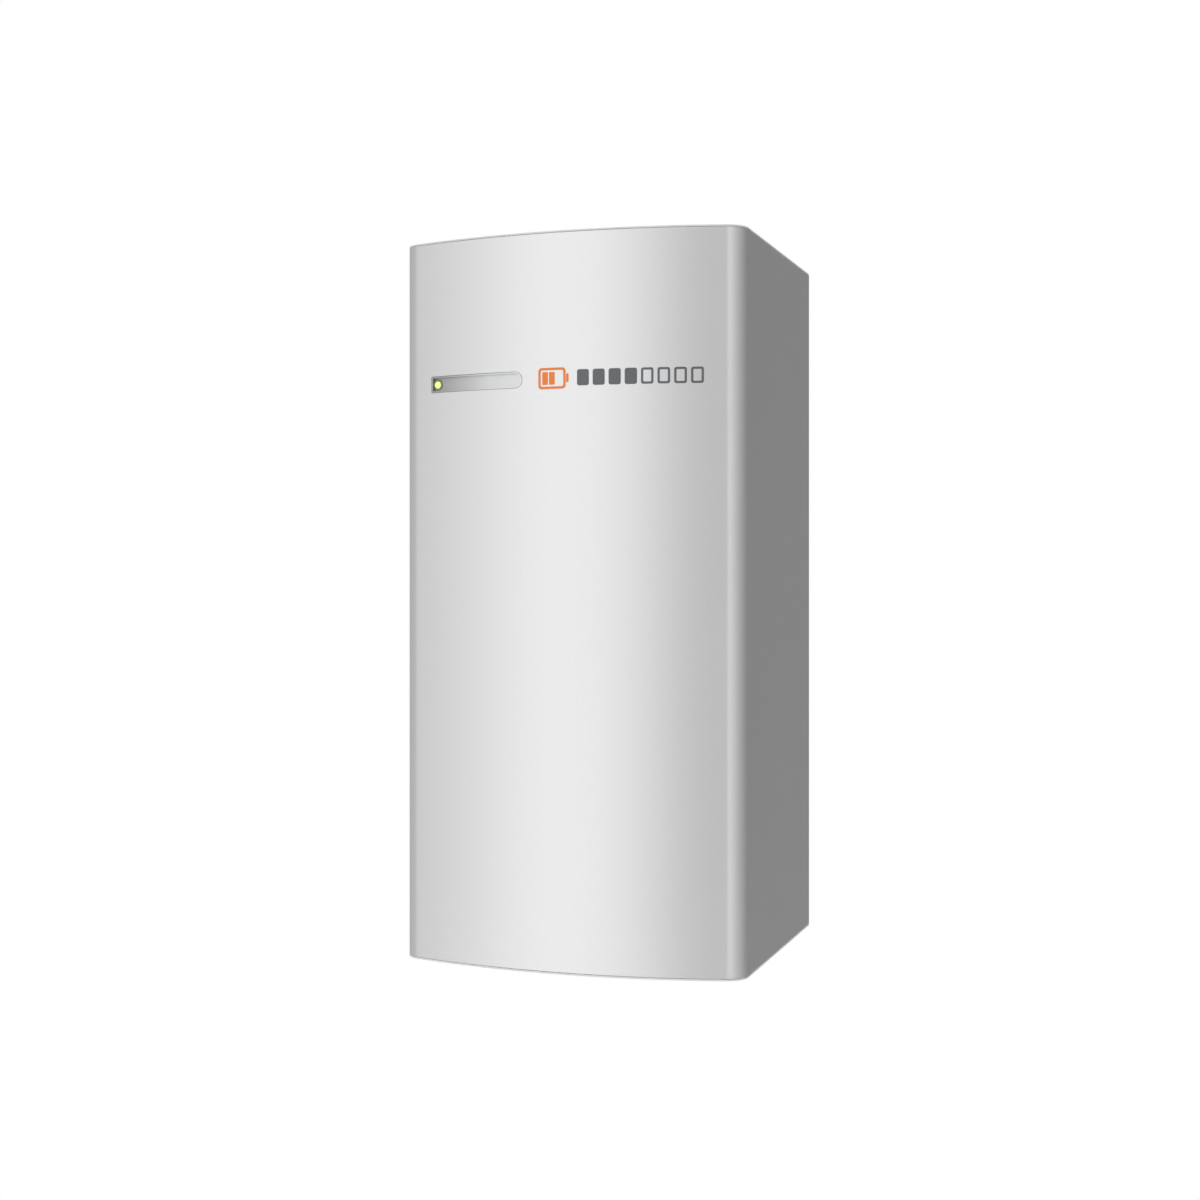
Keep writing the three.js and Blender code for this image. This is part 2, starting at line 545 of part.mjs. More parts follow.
// Battery management board on four stands, with its components.
function managementBoard() {
  const half = { x: moduleX - circuit.margin, z: moduleZ / 2 - circuit.margin };
  const back = bayBack - circuit.stand;
  const front = back - circuit.thickness;
  const plate = slab([-half.x, half.x], [front, back], [-half.z, half.z]);
  const on = (span, depth, levels) => slab(span, [front - depth, front + bite], levels);
  const relayLeft = -half.x + relay.inset;
  const relayTop = half.z - relay.inset;
  const relayLevels = [relayTop - relay.height, relayTop];
  const relayCase = on([relayLeft, relayLeft + relay.width], relay.depth, relayLevels);
  const chipLeft = processor.aside - processor.side / 2;
  const chipLevels = [-processor.side / 2, processor.side / 2];
  const chip = on([chipLeft, chipLeft + processor.side], processor.depth, chipLevels);
  const headerRight = half.x - header.inset;
  const headerLow = -half.z + header.inset;
  const headerLevels = [headerLow, headerLow + header.height];
  const plugs = on([headerRight - header.width, headerRight], header.depth, headerLevels);
  const coils = spread(3, coil.pitch).map((rise) =>
    bar("y", coil.radius, [front - coil.depth, front + bite], [half.x - coil.inset, rise + coil.rise], 12),
  );
  const corner = { x: half.x - circuit.standInset, z: half.z - circuit.standInset };
  const stand = (i, k) =>
    bar("y", circuit.standRadius, [back - bite, bayBack], [i * corner.x, k * corner.z], 10);
  const stands = [-1, 1].flatMap((i) => [-1, 1].map((k) => stand(i, k)));
  return joined([plate, relayCase, chip, plugs, ...coils, ...stands]);
}

function contactor() {
  const { width, height, depth, foot, footHeight, footThickness } = contactorBox;
  const front = bayBack - depth;
  const footHalf = width / 2 + foot;
  const body = slab([-width / 2, width / 2], [front, bayBack], [-height / 2, height / 2]);
  const footLevels = [-footHeight / 2, footHeight / 2];
  const feet = slab([-footHalf, footHalf], [bayBack - footThickness, bayBack], footLevels);
  const posts = spread(2, contactorPost.apart).map((x) =>
    bar("y", contactorPost.radius, [front - contactorPost.rise, front + bite], [x, 0], 12),
  );
  return joined([body, feet, ...posts]);
}

function packFuse() {
  const axis = bayBack - fuseBarrel.axis;
  const barrel = bar("x", fuseBarrel.radius, [-fuseBarrel.length / 2, fuseBarrel.length / 2], [axis, 0], 18);
  const blades = slab(
    [-fuseBlade.length / 2, fuseBlade.length / 2],
    [axis - fuseBlade.thickness / 2, axis + fuseBlade.thickness / 2],
    [-fuseBlade.width / 2, fuseBlade.width / 2],
  );
  const baseFront = bayBack - fuseBase.thickness;
  const base = slab(
    [-fuseBase.length / 2, fuseBase.length / 2],
    [baseFront, bayBack],
    [-fuseBase.width / 2, fuseBase.width / 2],
  );
  const postDepth = [axis, baseFront + bite];
  const posts = spread(2, fuseBase.apart).map((x) => bar("y", fuseBase.post, postDepth, [x, 0], 12));
  return joined([barrel, blades, base, ...posts]);
}

// Modules fill three quarters of the tub; the fourth, upper right, holds the switching and management parts.
const quarters = [
  [-moduleX, -moduleZ],
  [moduleX, -moduleZ],
  [-moduleX, moduleZ],
];
const cellBlockShape = toGeometry(cellBlock());
const clampShape = toGeometry(clampFrame());
const busbarShape = toGeometry(busbarTray());
const packModules = quarters.flatMap(([x, z], i) => [
  piece(`cell_block_${i + 1}`, cellBlockShape, "cellWrap", [x, 0, z]),
  piece(`clamp_frame_${i + 1}`, clampShape, "castAluminium", [x, 0, z]),
  piece(`busbar_tray_${i + 1}`, busbarShape, "copper", [x, 0, z]),
]);

const pack = assembly(
  piece("pack_tub", packTub(), "castAluminium"),
  piece("pack_gasket", packGasket(), "rubber"),
  piece("pack_lid", packLidPlate(), "castAluminium"),
  ...packModules,
  piece("management_board", managementBoard(), "board", [moduleX, 0, levelInPack.board * moduleZ]),
  piece("contactor", contactor(), "blackPlastic", [moduleX, 0, levelInPack.contactor * moduleZ]),
  piece("pack_fuse", packFuse(), "greyPlastic", [moduleX, 0, levelInPack.fuse * moduleZ]),
  piece("breather_vent", bar("z", breather.radius, [0, breather.height], [0, 0]), "blackPlastic", [
    0,
    tubBack - tub.depth / 2,
    tubHeight / 2 + touch,
  ]),
);
pack.position.z = tubMiddle;

function carryHandle() {
  const end = handle.span / 2;
  const straight = end - handle.corner;
  const top = handle.rise;
  const k = handle.corner * 0.3; // a quarter bend's middle lies this far in from its corner
  const points = [
    [0, -end, 0],
    [0, -end, top - handle.corner],
    [0, -end + k, top - k],
    [0, -straight, top],
    [0, straight, top],
    [0, end - k, top - k],
    [0, end, top - handle.corner],
    [0, end, 0],
  ];
  const feet = [-end, end].map((y) => bar("z", handle.foot, [0, handle.footHeight], [0, y], 16));
  return joined([tube(points, handle.radius, 24), ...feet]);
}

const handleBase = [tubBack - tub.depth / 2, tubTop + touch];
const handles = assembly(
  piece("carry_handle_left", carryHandle(), "darkSteel", [-handle.inX, ...handleBase]),
  piece("carry_handle_right", carryHandle(), "darkSteel", [handle.inX, ...handleBase]),
);

// ---------------------------------------------------------------- power electronics on the pack's lid
const carrierSpan = { x: tubHalf - carrier.margin, low: tubBottom + carrier.aboveTub, high: inverterTop - 2 };

function inverterCarrier() {
  const { x, low, high } = carrierSpan;
  const plate = slab([-x, x], [carrierFront, carrierBack], [low, high]);
  const footStart = x - carrierFoot.inset;
  const footEnd = footStart + carrierFoot.side;
  const deep = [carrierBack - bite, lidFront + packLid.ribHeight - touch];
  const feet = [-1, 1].flatMap((side) =>
    [low + carrierFoot.rise, high - carrierFoot.rise].map((z) =>
      slab([side * footStart, side * footEnd], deep, [z - carrierFoot.side / 2, z + carrierFoot.side / 2]),
    ),
  );
  return joined([plate, ...feet]);
}

const cableY = inverterBack - plugPort.offCarrier;

// One finned power converter; its two sockets face the channel between the columns.
function inverterBody(side) {
  const half = { x: inverterWidth / 2, z: inverterHeight / 2 };
  const front = inverterBack - inverter.depth;
  const outline = new THREE.Shape();
  const c = inverter.corner;
  outline.moveTo(-half.x + c, -half.z);
  outline.lineTo(half.x - c, -half.z);
  outline.lineTo(half.x, -half.z + c);
  outline.lineTo(half.x, half.z - c);
  outline.lineTo(half.x - c, half.z);
  outline.lineTo(-half.x + c, half.z);
  outline.lineTo(-half.x, half.z - c);
  outline.lineTo(-half.x, -half.z + c);
  const body = runAlongY(outline, [front, inverterBack]);
  const finPitch = (inverterWidth - 2 * finMargin) / (inverter.finCount - 1);
  const finHalf = { x: inverter.finWidth / 2, z: half.z - finMargin };
  const fins = spread(inverter.finCount, finPitch).map((x) =>
    slab([x - finHalf.x, x + finHalf.x], [front - inverter.fin, front + bite], [-finHalf.z, finHalf.z]),
  );
  const ears = slab(
    [-inverterEar.width / 2, inverterEar.width / 2],
    [inverterBack - inverterEar.thickness, inverterBack],
    [-half.z - inverterEar.reach, half.z + inverterEar.reach],
  );
  const sockets = [plugPort.dcRise, plugPort.acRise].map((z) =>
    bar("x", plugPort.radius, [side * (half.x - bite), side * (half.x + plugPort.reach)], [cableY, z], 14),
  );
  return joined([body, ears, ...fins, ...sockets]);
}

const inverterPlaces = [1, 0].flatMap((row) =>
  [-1, 1].map((side) => ({ side, x: side * inverterX, z: tubBottom + inverterPitch * (row + 0.5) })),
);
const inverterShapes = { "-1": toGeometry(inverterBody(1)), 1: toGeometry(inverterBody(-1)) };
const inverters = inverterPlaces.map(({ side, x, z }, i) =>
  piece(`inverter_${i + 1}`, inverterShapes[side], "inverterCase", [x, 0, z]),
);

// Cables run down the channel, with one short branch to each converter.
const socketGap = inverter.channel / 2 - plugPort.reach - touch;
const branchElbow = cable.trunk + cable.branch + cable.passing; // keeps a branch clear of the other trunk
const onLid = lidFront + packLid.ribHeight - touch; // rear face of what stands on the lid's field

function trunkBranches(rise, y) {
  return inverterPlaces.map(({ side, z }) =>
    tube(
      [
        [0, y, z + rise],
        [side * branchElbow * 0.8, (y + cableY) / 2, z + rise],
        [side * branchElbow, cableY, z + rise],
        [side * socketGap, cableY, z + rise],
      ],
      cable.branch,
      5,
    ),
  );
}

const junction = (z, y) =>
  bar("z", cable.trunk + junctionBox.wall, [z - junctionBox.half, z + junctionBox.half], [0, y], 12);
const rowLevels = [...new Set(inverterPlaces.map(({ z }) => z))];

function dcTrunkCable() {
  const low = Math.min(...rowLevels) + plugPort.dcRise;
  const y = cableY - 8;
  const route = [
    [0, cableY, low - junctionBox.half],
    [0, cableY, inverterTop - 46],
    [0, cableY, inverterTop - 32],
    [5, cableY - 4, inverterTop - 11],
    [24, y, inverterTop - 2],
    [switchX - 24, y, inverterTop - 2],
    [switchX - 6, y, inverterTop + 2],
    [switchX, y, switchBottom - 5],
    [switchX, y, switchBottom - touch],
  ];
  const nodes = rowLevels.map((z) => junction(z + plugPort.dcRise, cableY));
  return joined([tube(route, cable.trunk, 26), ...nodes, ...trunkBranches(plugPort.dcRise, cableY)]);
}

const acY = cableY - 16;
const terminalTop = wiringBottom + block.aboveFloor;
const blockBack = tubBack - wiring.wall - touch;
const blockFront = blockBack - block.depth;
const dropY = (blockFront + blockBack) / 2;

function acTrunkCable() {
  const high = Math.max(...rowLevels) + plugPort.acRise;
  const gapZ = (tubBottom + wiringTop) / 2;
  const route = [
    [0, acY, high + junctionBox.half],
    [0, acY, tubBottom + 52],
    [0, acY, tubBottom + 38],
    [0, acY + 2, tubBottom + 14],
    [0, acY + 16, gapZ + 3],
    [0, acY + 44, gapZ],
    [0, dropY - 24, gapZ],
    [0, dropY - 7, gapZ - 4],
    [0, dropY, wiringTop - 6],
    [0, dropY, terminalTop + touch],
  ];
  const nodes = rowLevels.map((z) => junction(z + plugPort.acRise, acY));
  return joined([tube(route, cable.trunk, 36), ...nodes, ...trunkBranches(plugPort.acRise, acY)]);
}

// A lead from the pack's lid to the switch's side.
function packLead(z, drift) {
  const start = (radioRight + switchLeft) / 2;
  const across = switchLeft - start;
  return tube(
    [
      [start, onLid, z],
      [start, onLid - 12, z],
      [start + across * 0.25, onLid - 22, z + drift],
      [start + across * 0.7, onLid - 26, z],
      [switchLeft - touch, onLid - 26, z],
    ],
    cable.lead,
    14,
  );
}

function switchBody() {
  const { width, height, depth, plateMargin, plate } = dcSwitch;
  const front = onLid - depth;
  const wide = [-width / 2, width / 2];
  const plateHalf = height / 2 + plateMargin;
  const body = slab(wide, [front, onLid], [-height / 2, height / 2]);
  const flange = slab(wide, [onLid - plate, onLid], [-plateHalf, plateHalf]);
  const collarRadius = knob.radius + switchCollar.margin;
  const collar = bar("y", collarRadius, [front - switchCollar.height, front + bite], [0, 0], 28);
  const socketDepth = [front - switchCollar.height - beyond, front + switchCollar.socket];
  const socket = bar("y", knob.spindle + running, socketDepth, [0, 0], 16);
  return cut(joined([body, flange, collar]), [socket]);
}

const knobBack = onLid - dcSwitch.depth - switchCollar.height - touch;

function switchKnob() {
  const disc = bar("y", knob.radius, [knobBack - knob.disc, knobBack], [0, 0], 28);
  const gripFront = knobBack - knob.disc - knob.gripHeight;
  const gripHalf = { x: knob.radius - knob.gripInset, z: knob.gripWidth / 2 };
  const grip = slab([-gripHalf.x, gripHalf.x], [gripFront, knobBack - bite], [-gripHalf.z, gripHalf.z]);
  const spindle = bar("y", knob.spindle, [knobBack - bite, knobBack + spindleLength], [0, 0], 16);
  return joined([disc, grip, spindle]);
}

function radioHousing() {
  const half = { x: radioBox.width / 2, z: radioBox.height / 2 };
  const front = onLid - radioBox.depth;
  const outside = slab([-half.x, half.x], [front, onLid], [-half.z, half.z]);
  const inside = slab(
    [-half.x + radioBox.wall, half.x - radioBox.wall],
    [front + radioBox.wall, onLid + beyond],
    [-half.z + radioBox.wall, half.z - radioBox.wall],
  );
  const windowDepth = [front - beyond, front + radioBox.wall + beyond];
  const window = bar("y", lens.radius + 1, windowDepth, [lensX - radioX, indicatorZ - radioZ], 16);
  return cut(outside, [inside, window]);
}

// Radio and indicator board: its lamp stands behind the light pipe.
function radioBoard() {
  const half = { x: radioBox.width / 2 - radioPlate.sideGap, z: radioBox.height / 2 - radioPlate.endGap };
  const back = onLid - radioBox.depth + radioPlate.behindFront;
  const front = back - radioPlate.thickness;
  const plate = slab([-half.x, half.x], [front, back], [-half.z, half.z]);
  const behindLens = [lensX - radioX, indicatorZ - radioZ];
  const bulb = bar("y", lamp.radius, [back - lamp.length, front + bite], behindLens, 14);
  const radioDepth = [back - antenna.depth, front + bite];
  const radio = slab([antenna.left, antenna.right], radioDepth, [antenna.low, antenna.high]);
  const standX = half.x - 2 * radioPlate.stand;
  const standDepth = [back - bite, onLid - 1];
  const stands = [-1, 1].map((side) => bar("y", radioPlate.stand, standDepth, [side * standX, 10], 10));
  return joined([plate, bulb, radio, ...stands]);
}

function signalCable() {
  const start = radioRight + touch;
  const y = onLid - radioBox.depth / 2;
  const z = radioZ + 22;
  return tube(
    [
      [start, y, z],
      [start + 6, y, z],
      [start + 13, y + 9, z + 3],
      [start + 15, onLid - 12, z + 6],
      [start + 15, onLid, z + 6],
    ],
    cable.signal,
    12,
  );
}

// A U of flat bar that stands out from the lid and takes the cover's pins.
function supportFrame() {
  const half = halfWidth - frameBar.sideGap;
  const tall = [-frameBar.height / 2, frameBar.height / 2];
  const front = [frameY, frameY + frameBar.thickness];
  const crossBar = slab([-half, half], front, tall);
  const arms = [-1, 1].map((side) =>
    slab([side * (half - frameBar.thickness), side * half], [frameY, lidFront - touch], tall),
  );
  const footDepth = [lidFront - touch - frameBar.thickness, lidFront - touch];
  const feet = [-1, 1].map((side) => slab([side * (half - frameBar.foot), side * half], footDepth, tall));
  const holeDepth = [frameY - beyond, frameY + frameBar.thickness + beyond];
  const holes = [-pinX, pinX].map((x) => bar("y", coverPin.radius + coverPin.play, holeDepth, [x, 0], 18));
  return cut(joined([crossBar, ...arms, ...feet]), holes);
}

const frameShape = toGeometry(supportFrame());
const power = assembly(
  piece("inverter_carrier", inverterCarrier(), "chassisSteel"),
  ...inverters,
  piece("dc_trunk_cable", dcTrunkCable(), "blackPlastic"),
  piece("ac_trunk_cable", acTrunkCable(), "blackPlastic"),
  piece("pack_lead_positive", packLead(switchZ + 2, 3), "redCable"),
  piece("pack_lead_negative", packLead(switchZ - 18, -3), "blackPlastic"),
  piece("dc_switch_body", switchBody(), "greyPlastic", [switchX, 0, switchZ]),
  piece("dc_switch_knob", switchKnob(), "blackPlastic", [switchX, 0, switchZ]),
  piece("radio_housing", radioHousing(), "greyPlastic", [radioX, 0, radioZ]),
  piece("radio_board", radioBoard(), "board", [radioX, 0, radioZ]),
  piece("signal_cable", signalCable(), "greyPlastic"),
  piece("support_frame_top", frameShape, "chassisSteel", [0, 0, frameLevels[0]]),
  piece("support_frame_bottom", frameShape, "chassisSteel", [0, 0, frameLevels[1]]),
);

// ---------------------------------------------------------------- wiring compartment
const hubPlaces = spread(3, hub.pitch);
const hubY = -conduit.fromWall;

function wiringBox() {
  const outside = slab([-tubHalf, tubHalf], [wiringFront, tubBack], [wiringBottom, wiringTop]);
  const inside = slab(
    [-tubHalf + wiring.wall, tubHalf - wiring.wall],
    [wiringFront - beyond, tubBack - wiring.wall],
    [wiringBottom + wiring.wall, wiringTop - wiring.wall],
  );
  const floorDepth = [wiringBottom - beyond, wiringBottom + wiring.wall + beyond];
  const hubHoles = hubPlaces.map((x) => bar("z", hub.neck + hub.play, floorDepth, [x, hubY], 20));
  const roofDepth = [wiringTop - wiring.wall - beyond, wiringTop + beyond];
  const cableHole = bar("z", 2 * cable.trunk, roofDepth, [0, dropY - 1], 16);
  const shelfTop = hingeZ - hinge.underPin;
  const knuckles = [-1, 1].flatMap((side) => {
    const near = side * (hingeHalf + touch);
    const far = near + side * hinge.leaf;
    return [
      slab([near, far], [hingeY - hinge.knuckle, wiringFront + bite], [wiringBottom, shelfTop]),
      bar("x", hinge.knuckle, [near, far], [hingeY, hingeZ], 16),
    ];
  });
  const pinHole = bar("x", hinge.pin + running, [-tubHalf, tubHalf], [hingeY, hingeZ], 12);
  return cut(joined([outside, ...knuckles]), [inside, ...hubHoles, cableHole, pinHole]);
}

function wiringDoor() {
  const half = tubHalf - door.sideGap;
  const bottom = hingeZ - 1;
  const top = wiringTop - door.topGap;
  const sheet = slab([-half, half], [doorFront, wiringFront - touch], [bottom, top]);
  const raised = slab(
    [-half + door.panelInset, half - door.panelInset],
    [doorFront - door.panelRise, doorFront + bite],
    [bottom + 2 * door.panelInset, top - door.panelInset],
  );
  const barrel = bar("x", hinge.knuckle, [-hingeHalf, hingeHalf], [hingeY, hingeZ], 16);
  const web = slab([-hingeHalf, hingeHalf], [hingeY, doorFront + bite], [bottom, hingeZ + hinge.knuckle]);
  const pinHole = bar("x", hinge.pin + running, [-tubHalf, tubHalf], [hingeY, hingeZ], 12);
  return cut(joined([sheet, raised, barrel, web]), [pinHole]);
}

function hingePin() {
  const end = hingeHalf + hinge.leaf;
  return bar("x", hinge.pin, [-end, end], [hingeY, hingeZ], 12);
}

// Spring terminals for the supply conductors, one lever to each.
const blockMiddle = terminalTop - block.height / 2;
const polePitch = block.width / block.poles;
const leverPivot = { y: blockFront - lever.thickness / 2 - lever.offBlock, z: terminalTop - lever.belowTop };

function terminalBlock() {
  const half = { x: block.width / 2, z: block.height / 2 };
  const low = blockMiddle - half.z;
  const body = slab([-half.x, half.x], [blockFront, blockBack], [low, terminalTop]);
  const foot = slab(
    [-half.x - blockFoot.reach, half.x + blockFoot.reach],
    [blockBack - blockFoot.thickness, blockBack],
    [blockMiddle - blockFoot.height / 2, blockMiddle + blockFoot.height / 2],
  );
  const entryY = blockFront + blockEntry.behindFront;
  const entries = spread(block.poles, polePitch).map((x) =>
    slab(
      [x - blockEntry.side / 2, x + blockEntry.side / 2],
      [entryY, entryY + blockEntry.side],
      [low - beyond, low + blockEntry.depth],
    ),
  );
  const earHalf = lever.width / 2 + touch;
  const earDepth = [leverPivot.y - leverEar.ahead, blockFront + bite];
  const earLevels = [leverPivot.z - leverEar.half, leverPivot.z + leverEar.half];
  const ear = (x, side) =>
    slab([x + side * earHalf, x + side * (earHalf + leverEar.thickness)], earDepth, earLevels);
  const ears = spread(block.poles, polePitch).flatMap((x) => [-1, 1].map((side) => ear(x, side)));
  const pivot = [leverPivot.y, leverPivot.z];
  const bores = spread(block.poles, polePitch).map((x) =>
    bar("x", lever.pivot + running, [x - polePitch / 2, x + polePitch / 2], pivot, 12),
  );
  return cut(joined([body, foot, ...ears]), [...entries, ...bores]);
}

// A lever hangs over its clamp and swings up to open it. Its pivot is at its own origin.
function terminalLever() {
  const half = lever.width / 2;
  const thick = lever.thickness / 2;
  const arm = slab([-half, half], [-thick, thick], [-lever.length, lever.head]);
  const trunnionHalf = half + leverEar.thickness;
  const trunnion = bar("x", lever.pivot, [-trunnionHalf, trunnionHalf], [0, 0], 12);
  const lipLevels = [-lever.length, -lever.length + leverLip.height];
  const lip = slab([-half, half], [-thick - leverLip.rise, thick], lipLevels);
  return joined([arm, trunnion, lip]);
}

function groundTerminal() {
  const left = block.width / 2 + blockFoot.reach + groundBar.besideBlock;
  const right = left + groundBar.width;
  const back = blockBack - groundBar.stand;
  const front = back - groundBar.depth;
  const level = [blockMiddle - groundBar.height / 2, blockMiddle + groundBar.height / 2];
  const strip = slab([left, right], [front, back], level);
  const legLevel = [blockMiddle - groundLeg.halfHeight, blockMiddle + groundLeg.halfHeight];
  const legs = [left + groundLeg.inset, right - groundLeg.inset].map((x) =>
    slab([x - groundLeg.half, x + groundLeg.half], [back - bite, blockBack], legLevel),
  );
  const holePitch = (groundBar.width - 2 * groundHole.endGap) / (groundHole.count - 1);
  const holeDepth = [front - beyond, back - groundHole.floor];
  const holes = spread(groundHole.count, holePitch).map((x) =>
    bar("y", groundHole.radius, holeDepth, [(left + right) / 2 + x, blockMiddle], 10),
  );
  return cut(joined([strip, ...legs]), holes);
}

// Conduit entries through the box's floor: one open hub and two blanking plugs.
const underFloor = wiringBottom - touch;
const neckTop = wiringBottom + wiring.wall + conduit.neckRise;
const conduitNeck = () => bar("z", hub.neck, [underFloor - bite, neckTop], [0, 0], 20);

function conduitHub() {
  const lowest = -halfHeight + conduit.aboveCap;
  const flange = bar("z", hub.flange, [underFloor - hub.flangeThickness, underFloor], [0, 0], 24);
  const body = bar("z", hub.outer, [lowest, underFloor - bite], [0, 0], 8);
  const bore = bar("z", hub.bore, [lowest - beyond, neckTop + beyond], [0, 0], 20);
  return joined([flange, body, conduitNeck()]).subtract(bore);
}

function conduitPlug() {
  const flange = bar("z", plug.flange, [underFloor - plug.drop, underFloor], [0, 0], 8);
  return flange.add(conduitNeck());
}

const leverShape = toGeometry(terminalLever());
const plugShape = toGeometry(conduitPlug());
const wiringParts = assembly(
  piece("wiring_box", wiringBox(), "chassisSteel"),
  piece("wiring_door", wiringDoor(), "chassisSteel"),
  piece("door_hinge_pin", hingePin(), "darkSteel"),
  piece("terminal_block", terminalBlock(), "greyPlastic"),
  ...spread(block.poles, polePitch).map((x, i) =>
    piece(`terminal_lever_${i + 1}`, leverShape, "orangePlastic", [x, leverPivot.y, leverPivot.z]),
  ),
  piece("ground_bar", groundTerminal(), "brass"),
  piece("conduit_hub", conduitHub(), "castAluminium", [hubPlaces[2], hubY, 0]),
  piece("conduit_plug_left", plugShape, "greyPlastic", [hubPlaces[0], hubY, 0]),
  piece("conduit_plug_middle", plugShape, "greyPlastic", [hubPlaces[1], hubY, 0]),
);

export default assembly(cover, hanging, pack, handles, power, wiringParts);
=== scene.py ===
import math

import bmesh
import bpy
from bpy.props import FloatProperty, FloatVectorProperty, IntProperty, PointerProperty
from mathutils import Matrix, Vector


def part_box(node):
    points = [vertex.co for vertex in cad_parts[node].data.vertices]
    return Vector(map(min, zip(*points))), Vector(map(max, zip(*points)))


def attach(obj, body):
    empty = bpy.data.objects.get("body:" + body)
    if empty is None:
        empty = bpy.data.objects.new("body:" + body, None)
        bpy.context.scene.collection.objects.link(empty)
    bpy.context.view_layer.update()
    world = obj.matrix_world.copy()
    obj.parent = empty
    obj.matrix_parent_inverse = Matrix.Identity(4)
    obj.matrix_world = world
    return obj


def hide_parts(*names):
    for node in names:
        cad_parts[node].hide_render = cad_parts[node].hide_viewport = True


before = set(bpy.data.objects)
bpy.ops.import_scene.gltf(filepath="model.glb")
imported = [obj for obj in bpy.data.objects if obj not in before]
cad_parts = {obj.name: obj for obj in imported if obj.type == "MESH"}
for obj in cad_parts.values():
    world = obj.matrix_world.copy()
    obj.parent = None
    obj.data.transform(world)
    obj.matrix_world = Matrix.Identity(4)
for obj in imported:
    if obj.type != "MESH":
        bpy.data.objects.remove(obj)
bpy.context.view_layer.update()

bl_info = {
    "name": "Wall battery unit",
    "version": (1, 0, 0),
    "blender": (4, 5, 0),
    "location": "3D View > Sidebar > Battery",
    "description": "Builds the finished pieces of a wall battery unit around its frame",
    "category": "Object",
}

MM = 0.001
FACET = math.radians(35)  # edges sharper than this are rounded and shaded sharp
FLAT = math.radians(0.5)  # facets that lie flatter than this are one face
CLOSE = 1e-6  # vertices nearer than this are one vertex
QUARTER = math.pi / 2
FORWARD, BACKWARD, UPWARD, DOWNWARD = (0, -1, 0), (0, 1, 0), (0, 0, 1), (0, 0, -1)

shell_low, shell_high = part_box("cover_shell")
tray_low, tray_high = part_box("indicator_tray")
pipe_low, pipe_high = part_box("light_pipe")
HALF_WIDTH = shell_high.x
COVER_BACK = shell_high.y
CROWN = shell_low.y
SHELL_TOP = shell_high.z
CAP_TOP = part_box("cover_top_cap")[1].z
TRAY_LEVEL = (tray_low.z + tray_high.z) / 2
TRAY_FLANGE = 5 * MM  # how far the tray reaches round its window, behind the skin
FIT = 0.3 * MM  # the gap between parts that slide into each other
PIN_INSET = 45 * MM  # from the cover's side to its locating pins
PORT_DEPTH = 13 * MM  # from a converter's back to the middle of its sockets
PORT_RISE = 45 * MM  # from a converter's middle to its sockets
TRUNK_RADIUS = 4.5 * MM

CAMERA_PLACE = (0.5461, -1.8286, 0.019)
CAMERA_AIM = (-0.319, 0.9478, 0)  # a level view from the front and somewhat from the right
LENS_SHIFT = -0.0158  # as a share of the sensor's width
SENSOR_WIDTH = 36
FAR_LIMIT = 50
FLOOR_RADIUS = 2.6
BRIGHTEST = 2.0  # what the surround's levels are measured against


# ------------------------------------------------------------------ sizes and colours
class BatteryCover(bpy.types.PropertyGroup):
    """Sizes and colours of the front cover and its caps."""

    crown: FloatProperty(
        name="Crown", description="How far the front bulges between its edges", default=25.6 * MM,
        unit="LENGTH",
    )
    corner: FloatProperty(
        name="Corner radius", description="Radius of the two upright front corners", default=22 * MM,
        unit="LENGTH",
    )
    wall: FloatProperty(
        name="Wall", description="Thickness of the cover's skin", default=2.5 * MM, unit="LENGTH"
    )
    paint: FloatVectorProperty(
        name="Paint", description="Colour of the cover's satin paint", subtype="COLOR", size=3,
        default=(0.725, 0.725, 0.725),
    )
    rim: FloatVectorProperty(
        name="Caps", description="Colour of the moulded end caps", subtype="COLOR", size=3,
        default=(0.66, 0.665, 0.67),
    )


class BatteryIndicator(bpy.types.PropertyGroup):
    """Sizes and colours of the indicator window, its light and the printed mark."""

    height: FloatProperty(
        name="Window height", description="Height of the window", default=15 * MM, unit="LENGTH"
    )
    depth: FloatProperty(
        name="Depth", description="Depth of the window's floor", default=3.5 * MM, unit="LENGTH"
    )
    wall: FloatProperty(
        name="Tray wall", description="Thickness of the tray", default=1.2 * MM, unit="LENGTH"
    )
    glow: FloatVectorProperty(
        name="Light", description="Colour of the indicator's light", subtype="COLOR", size=3,
        default=(0.86, 1.0, 0.30),
    )
    mark: FloatVectorProperty(
        name="Mark", description="Colour of the battery symbol", subtype="COLOR", size=3,
        default=(0.80, 0.20, 0.03),
    )
    blocks: IntProperty(
        name="Blocks", description="How many level blocks follow the symbol", default=8, min=1, max=12
    )


class BatteryStage(bpy.types.PropertyGroup):
    """The floor, the light and the camera."""

    lens: FloatProperty(
        name="Lens", description="Focal length of the camera in millimetres", default=53.97
    )
    floor_drop: FloatProperty(
        name="Floor", description="How far the floor lies below the unit's middle", default=1.6,
        unit="LENGTH",
    )
    floor_colour: FloatVectorProperty(
        name="Floor colour", description="Colour of the floor", subtype="COLOR", size=3,
        default=(0.9, 0.9, 0.9),
    )


# ------------------------------------------------------------------ places and outlines
def extent(node):
    """The lowest corner, the highest corner and the middle of a node's box."""
    low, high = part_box(node)
    return low, high, (low + high) / 2


def in_mm(*points):
    """Points given in millimetres."""
    return [tuple(part * MM for part in point) for point in points]


def corners(low, high, inset_x, inset_z):
    """The four places on a box's front, some millimetres in from its sides and from its ends."""
    sides = (low.x + inset_x * MM, high.x - inset_x * MM)
    ends = (low.z + inset_z * MM, high.z - inset_z * MM)
    return [(x, z) for x in sides for z in ends]


